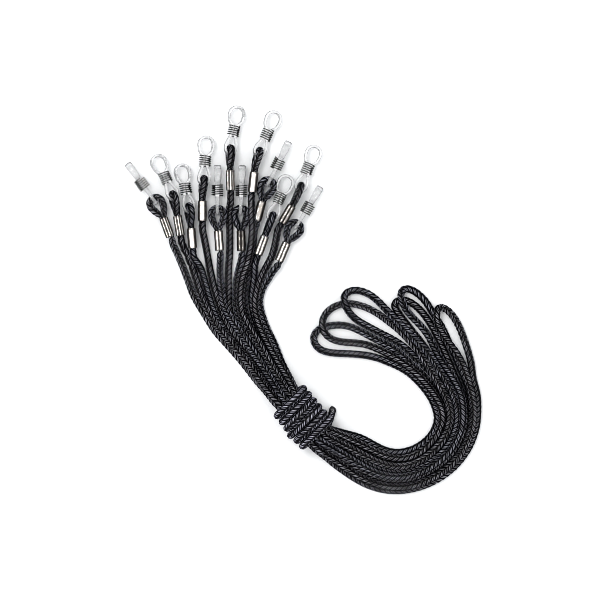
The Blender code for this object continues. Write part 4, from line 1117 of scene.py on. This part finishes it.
def band(name, k, end, outline, material):
    """A moulded band swept along half its outline (x, y, thickness, width), from inside the
    coil to the axis, and back along the mirror image."""
    along, across, side = end.connector_axes()
    origin = end.connector_origin()
    half = np.array(outline, float)
    full = np.vstack([half, half[-2::-1] * (1, -1, 1, 1)])
    flat = np.column_stack([full[:, 0], full[:, 1], np.zeros(len(full))])
    curve = through(flat, 0.28)
    s_flat = arc_length(flat)
    s_curve = arc_length(curve)
    stations = s_flat / s_flat[-1] * s_curve[-1]
    count = int(s_curve[-1] / 0.30)
    t = np.linspace(0, s_curve[-1], count + 1)
    x, y = np.interp(t, s_curve, curve[:, 0]), np.interp(t, s_curve, curve[:, 1])
    thick, wide = (np.interp(t, stations, full[:, i]) for i in (2, 3))
    for _ in range(6):
        for size in (thick, wide):
            size[1:-1] = (size[:-2] + 2 * size[1:-1] + size[2:]) / 4
    dx, dy = np.gradient(x), np.gradient(y)
    length = np.hypot(dx, dy)
    nx, ny = -dy / length, dx / length
    sides = 20
    around = 2 * math.pi * (np.arange(sides) + 0.5) / sides
    power = 2 / 3.2          # rounds the corners of the section
    cu = np.sign(np.cos(around)) * np.abs(np.cos(around)) ** power
    cv = np.sign(np.sin(around)) * np.abs(np.sin(around)) ** power
    X = x[:, None] + nx[:, None] * thick[:, None] / 2 * cu
    Y = y[:, None] + ny[:, None] * thick[:, None] / 2 * cu
    Z = wide[:, None] / 2 * cv
    rings = origin + along * X[..., None] + side * Y[..., None] + across * Z[..., None]
    tips = [origin + along * x[i] + side * y[i] for i in (0, -1)]
    squeezed = np.clip((3.1 - np.abs(x - TO_COIL)) / 0.7, 0, 1)
    pale = np.concatenate([np.repeat(squeezed, sides), squeezed[[0, -1]]])
    return build(name, np.vstack([rings.reshape(-1, 3), tips]), capped_tube(count + 1, sides),
                 material, "connector_%02d" % (k + 1),
                 "silicone_loop_%02d" % (k + 1), {"pale": ("FLOAT", pale)}, sharp=50)


def lobes(k, end, material):
    """Rear lobe round the eye and front lobe for the spectacle arm; they meet in the coil."""
    tip = TO_TIP - BAND_THICK / 2 - TIP_HALF     # centre of the front lobe's round tip
    # half outlines: x, y, thickness, width
    rear = [(TO_COIL + 0.95, 0.56, 0.90, 1.9), (TO_COIL, 0.70, 1.05, 1.9),
            (TO_COIL - 1.2, 0.92, 1.2, 1.8), (TO_COIL - 2.8, 1.14, 1.2, 1.7),
            (5.4, 1.76, 1.2, 1.6), (3.7, 2.22, 1.2, 1.5)]
    for degrees in (112, 135, 158, 180):
        a = math.radians(degrees)
        y = REAR_HALF * math.sin(a) if degrees < 180 else 0.0
        rear.append((REAR_HALF + REAR_HALF * math.cos(a), y, 1.05, BAND_WIDE_REAR - 0.14))
    front = [(TO_COIL + 0.95, 1.04, 1.62, 1.9), (TO_COIL + 1.75, 1.05, 1.4, 1.9),
             (TO_COIL + 2.45, 1.36, 1.2, 2.0), (TO_COIL + 3.2, 2.06, 1.1, 2.2),
             (TO_COIL + 4.1, 2.66, 1.1, 2.5), (tip - 0.9, 2.98, 1.15, 2.8)]
    for degrees in (90, 66, 42, 20, 0):
        a = math.radians(degrees)
        front.append((tip + TIP_HALF * math.cos(a), TIP_HALF * math.sin(a),
                      BAND_THICK, BAND_WIDE_TIP))
    band("silicone_%02d_rear_lobe" % (k + 1), k, end, rear, material)
    ob = band("silicone_%02d_front_lobe" % (k + 1), k, end, front, material)
    _, _, side = end.connector_axes()
    tuple(row_point(end.connector_origin()))
    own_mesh(ob)


# ============================================================================== make everything
NICKEL = (0.93, 0.885, 0.865)
# Ferrules with painted shade or a painted dark reflection, as darker copies of the nickel:
# material, brightness, number of the end in ENDS.
SHADED_FERRULE_NICKEL = (("nickel_painted_dark_reflection", 0.52, 8), ("nickel_painted_shade", 0.42, 10), ("nickel_shaded", 0.20, 6))


def make_hank():
    cords = build_cords()
    # dark is the nylon's own black; light is the highlight colour painted on the yarns' backs
    nylon = [
        cord_material("nylon_braid_a", dark=(0.0010, 0.0011, 0.0018),
                      light=(0.285, 0.290, 0.350), seed=1.0),
        cord_material("nylon_braid_b", dark=(0.0012, 0.0011, 0.0016),
                      light=(0.300, 0.296, 0.334), seed=4.0)]
    tie_nylon = cord_material("nylon_braid_tie", dark=(0.0036, 0.0034, 0.0048),
                              light=(0.540, 0.535, 0.640), seed=6.0)
    nickel = metal_material("nickel_plate", NICKEL, rough=0.13, seed=2.0)
    painted_shade_nickel = {}
    for name, painted_light_tone, k in SHADED_FERRULE_NICKEL:
        painted_shade_nickel[k] = metal_material(name, tuple(c * painted_light_tone for c in NICKEL), rough=0.17,
                                 seed=3.0 + painted_light_tone)
    steel = metal_material("spring_steel", (0.155, 0.155, 0.160), rough=0.08, seed=5.0)
    clear = silicone_material("clear_silicone")

    for c, cord in enumerate(cords[:TIE]):
        braid_cord("strap_cord_%d_braid" % (c + 1), cord, seed=c + 1.0, fused=False,
                   material=nylon[c % 2], node="strap_cord_%d" % (c + 1))
    braid_cord("tie_cord_braid", cords[TIE], seed=7.3, fused=True, material=tie_nylon,
               node="tie_cord")
    for k, end in enumerate(ALL_ENDS):
        ferrule(k, end, painted_shade_nickel.get(k, nickel))
        coil(k, end, steel)
        lobes(k, end, clear)


# ======================================================================= floor, light and camera
def make_floor():
    """White floor that looks dark in reflections, like black flags beside the goods."""
    mesh = bpy.data.meshes.new("floor")
    half = 6                 # metres
    corners = [(-half, -half, 0), (half, -half, 0), (half, half, 0), (-half, half, 0)]
    mesh.from_pydata(corners, [], [(0, 1, 2, 3)])
    floor = bpy.data.objects.new("floor", mesh)
    bpy.context.scene.collection.objects.link(floor)
    material = bpy.data.materials.new("studio_floor")
    N = Nodes(material)
    white, dark = (0.95, 0.95, 0.95), (0.10, 0.10, 0.10)
    reflected = N.reflected(N.new("ShaderNodeLightPath"))
    N.surface({"Base Color": N.colour(reflected, white, dark), "Roughness": 0.9,
               "Specular IOR Level": 0.1})
    mesh.materials.append(material)


# Soft boxes and dark gaps from below to above: place on the ramp, colour.
SOFT_BOXES = [(0.0, (0.10, 0.10, 0.10)), (1.0, (1.35, 1.33, 1.30))] + [
    (place, (grey, grey, grey)) for place, grey in (
        (0.08, 0.08), (0.14, 1.1), (0.24, 1.1), (0.30, 0.04), (0.68, 0.04), (0.79, 1.25),
        (0.90, 1.45))]


def make_world():
    """Reflections see the soft boxes, the camera sees white, all else sees even light."""
    world = bpy.data.worlds.new("studio")
    bpy.context.scene.world = world
    N = Nodes(world)
    upward = N.split(N.new("ShaderNodeTexCoord").outputs["Generated"])[2]
    ramp = N.new("ShaderNodeValToRGB")
    stops = ramp.color_ramp.elements
    for i, (place, colour) in enumerate(SOFT_BOXES):
        stop = stops[i] if i < 2 else stops.new(place)
        stop.position = place
        stop.color = (*colour, 1)
    N.fill(ramp, {0: upward})
    boxes = N.fill(N.new("ShaderNodeBackground"), {"Strength": 1.0, "Color": ramp.outputs[0]})
    even = N.fill(N.tree.nodes["Background"], {"Color": (0.97, 0.985, 1.0), "Strength": 1.25})
    white = N.fill(N.new("ShaderNodeBackground"), {"Color": (1.0, 1.0, 1.0), "Strength": 1.0})
    light_path = N.new("ShaderNodeLightPath")
    lit = N.fill(N.new("ShaderNodeMixShader"), {
        0: N.reflected(light_path), 1: even.outputs[0], 2: boxes.outputs[0]})
    seen = N.fill(N.new("ShaderNodeMixShader"), {
        0: light_path.outputs["Is Camera Ray"], 1: lit.outputs[0], 2: white.outputs[0]})
    N.fill(N.tree.nodes["World Output"], {"Surface": seen.outputs[0]})


def make_key_light():
    """Soft lamp above, on the left; places in metres."""
    place, aim = Vector((-0.28, 0.20, 0.95)), Vector((0, 0, 0.005))
    lamp = bpy.data.lights.new("key_light", "AREA")
    lamp.size = 0.26
    lamp.energy = 3.0
    ob = bpy.data.objects.new("key_light", lamp)
    bpy.context.scene.collection.objects.link(ob)
    ob.location = place
    ob.rotation_mode = "QUATERNION"
    ob.rotation_quaternion = (aim - place).to_track_quat("-Z", "Y")


def make_camera():
    """Straight above; lengths in metres."""
    height = 1.25            # above the subject plane
    subject_z = 3.0 * MM
    view_width = 0.252       # seen at the subject plane
    data = bpy.data.cameras.new("camera")
    camera = bpy.data.objects.new("camera", data)
    scene = bpy.context.scene
    scene.collection.objects.link(camera)
    data.type = "PERSP"
    data.sensor_width = 36.0
    data.lens = data.sensor_width * height / view_width
    data.clip_start, data.clip_end = 0.05, 20.0
    camera.location = (SHIFT[0], SHIFT[1], subject_z + height)
    camera.rotation_euler = (0.0, 0.0, 0.0)
    scene.camera = camera
    scene.cycles.filter_width = 0.75
    scene.view_settings.view_transform = "Standard"
    scene.view_settings.look = "None"


make_hank()
make_floor()
make_world()
make_key_light()
make_camera()
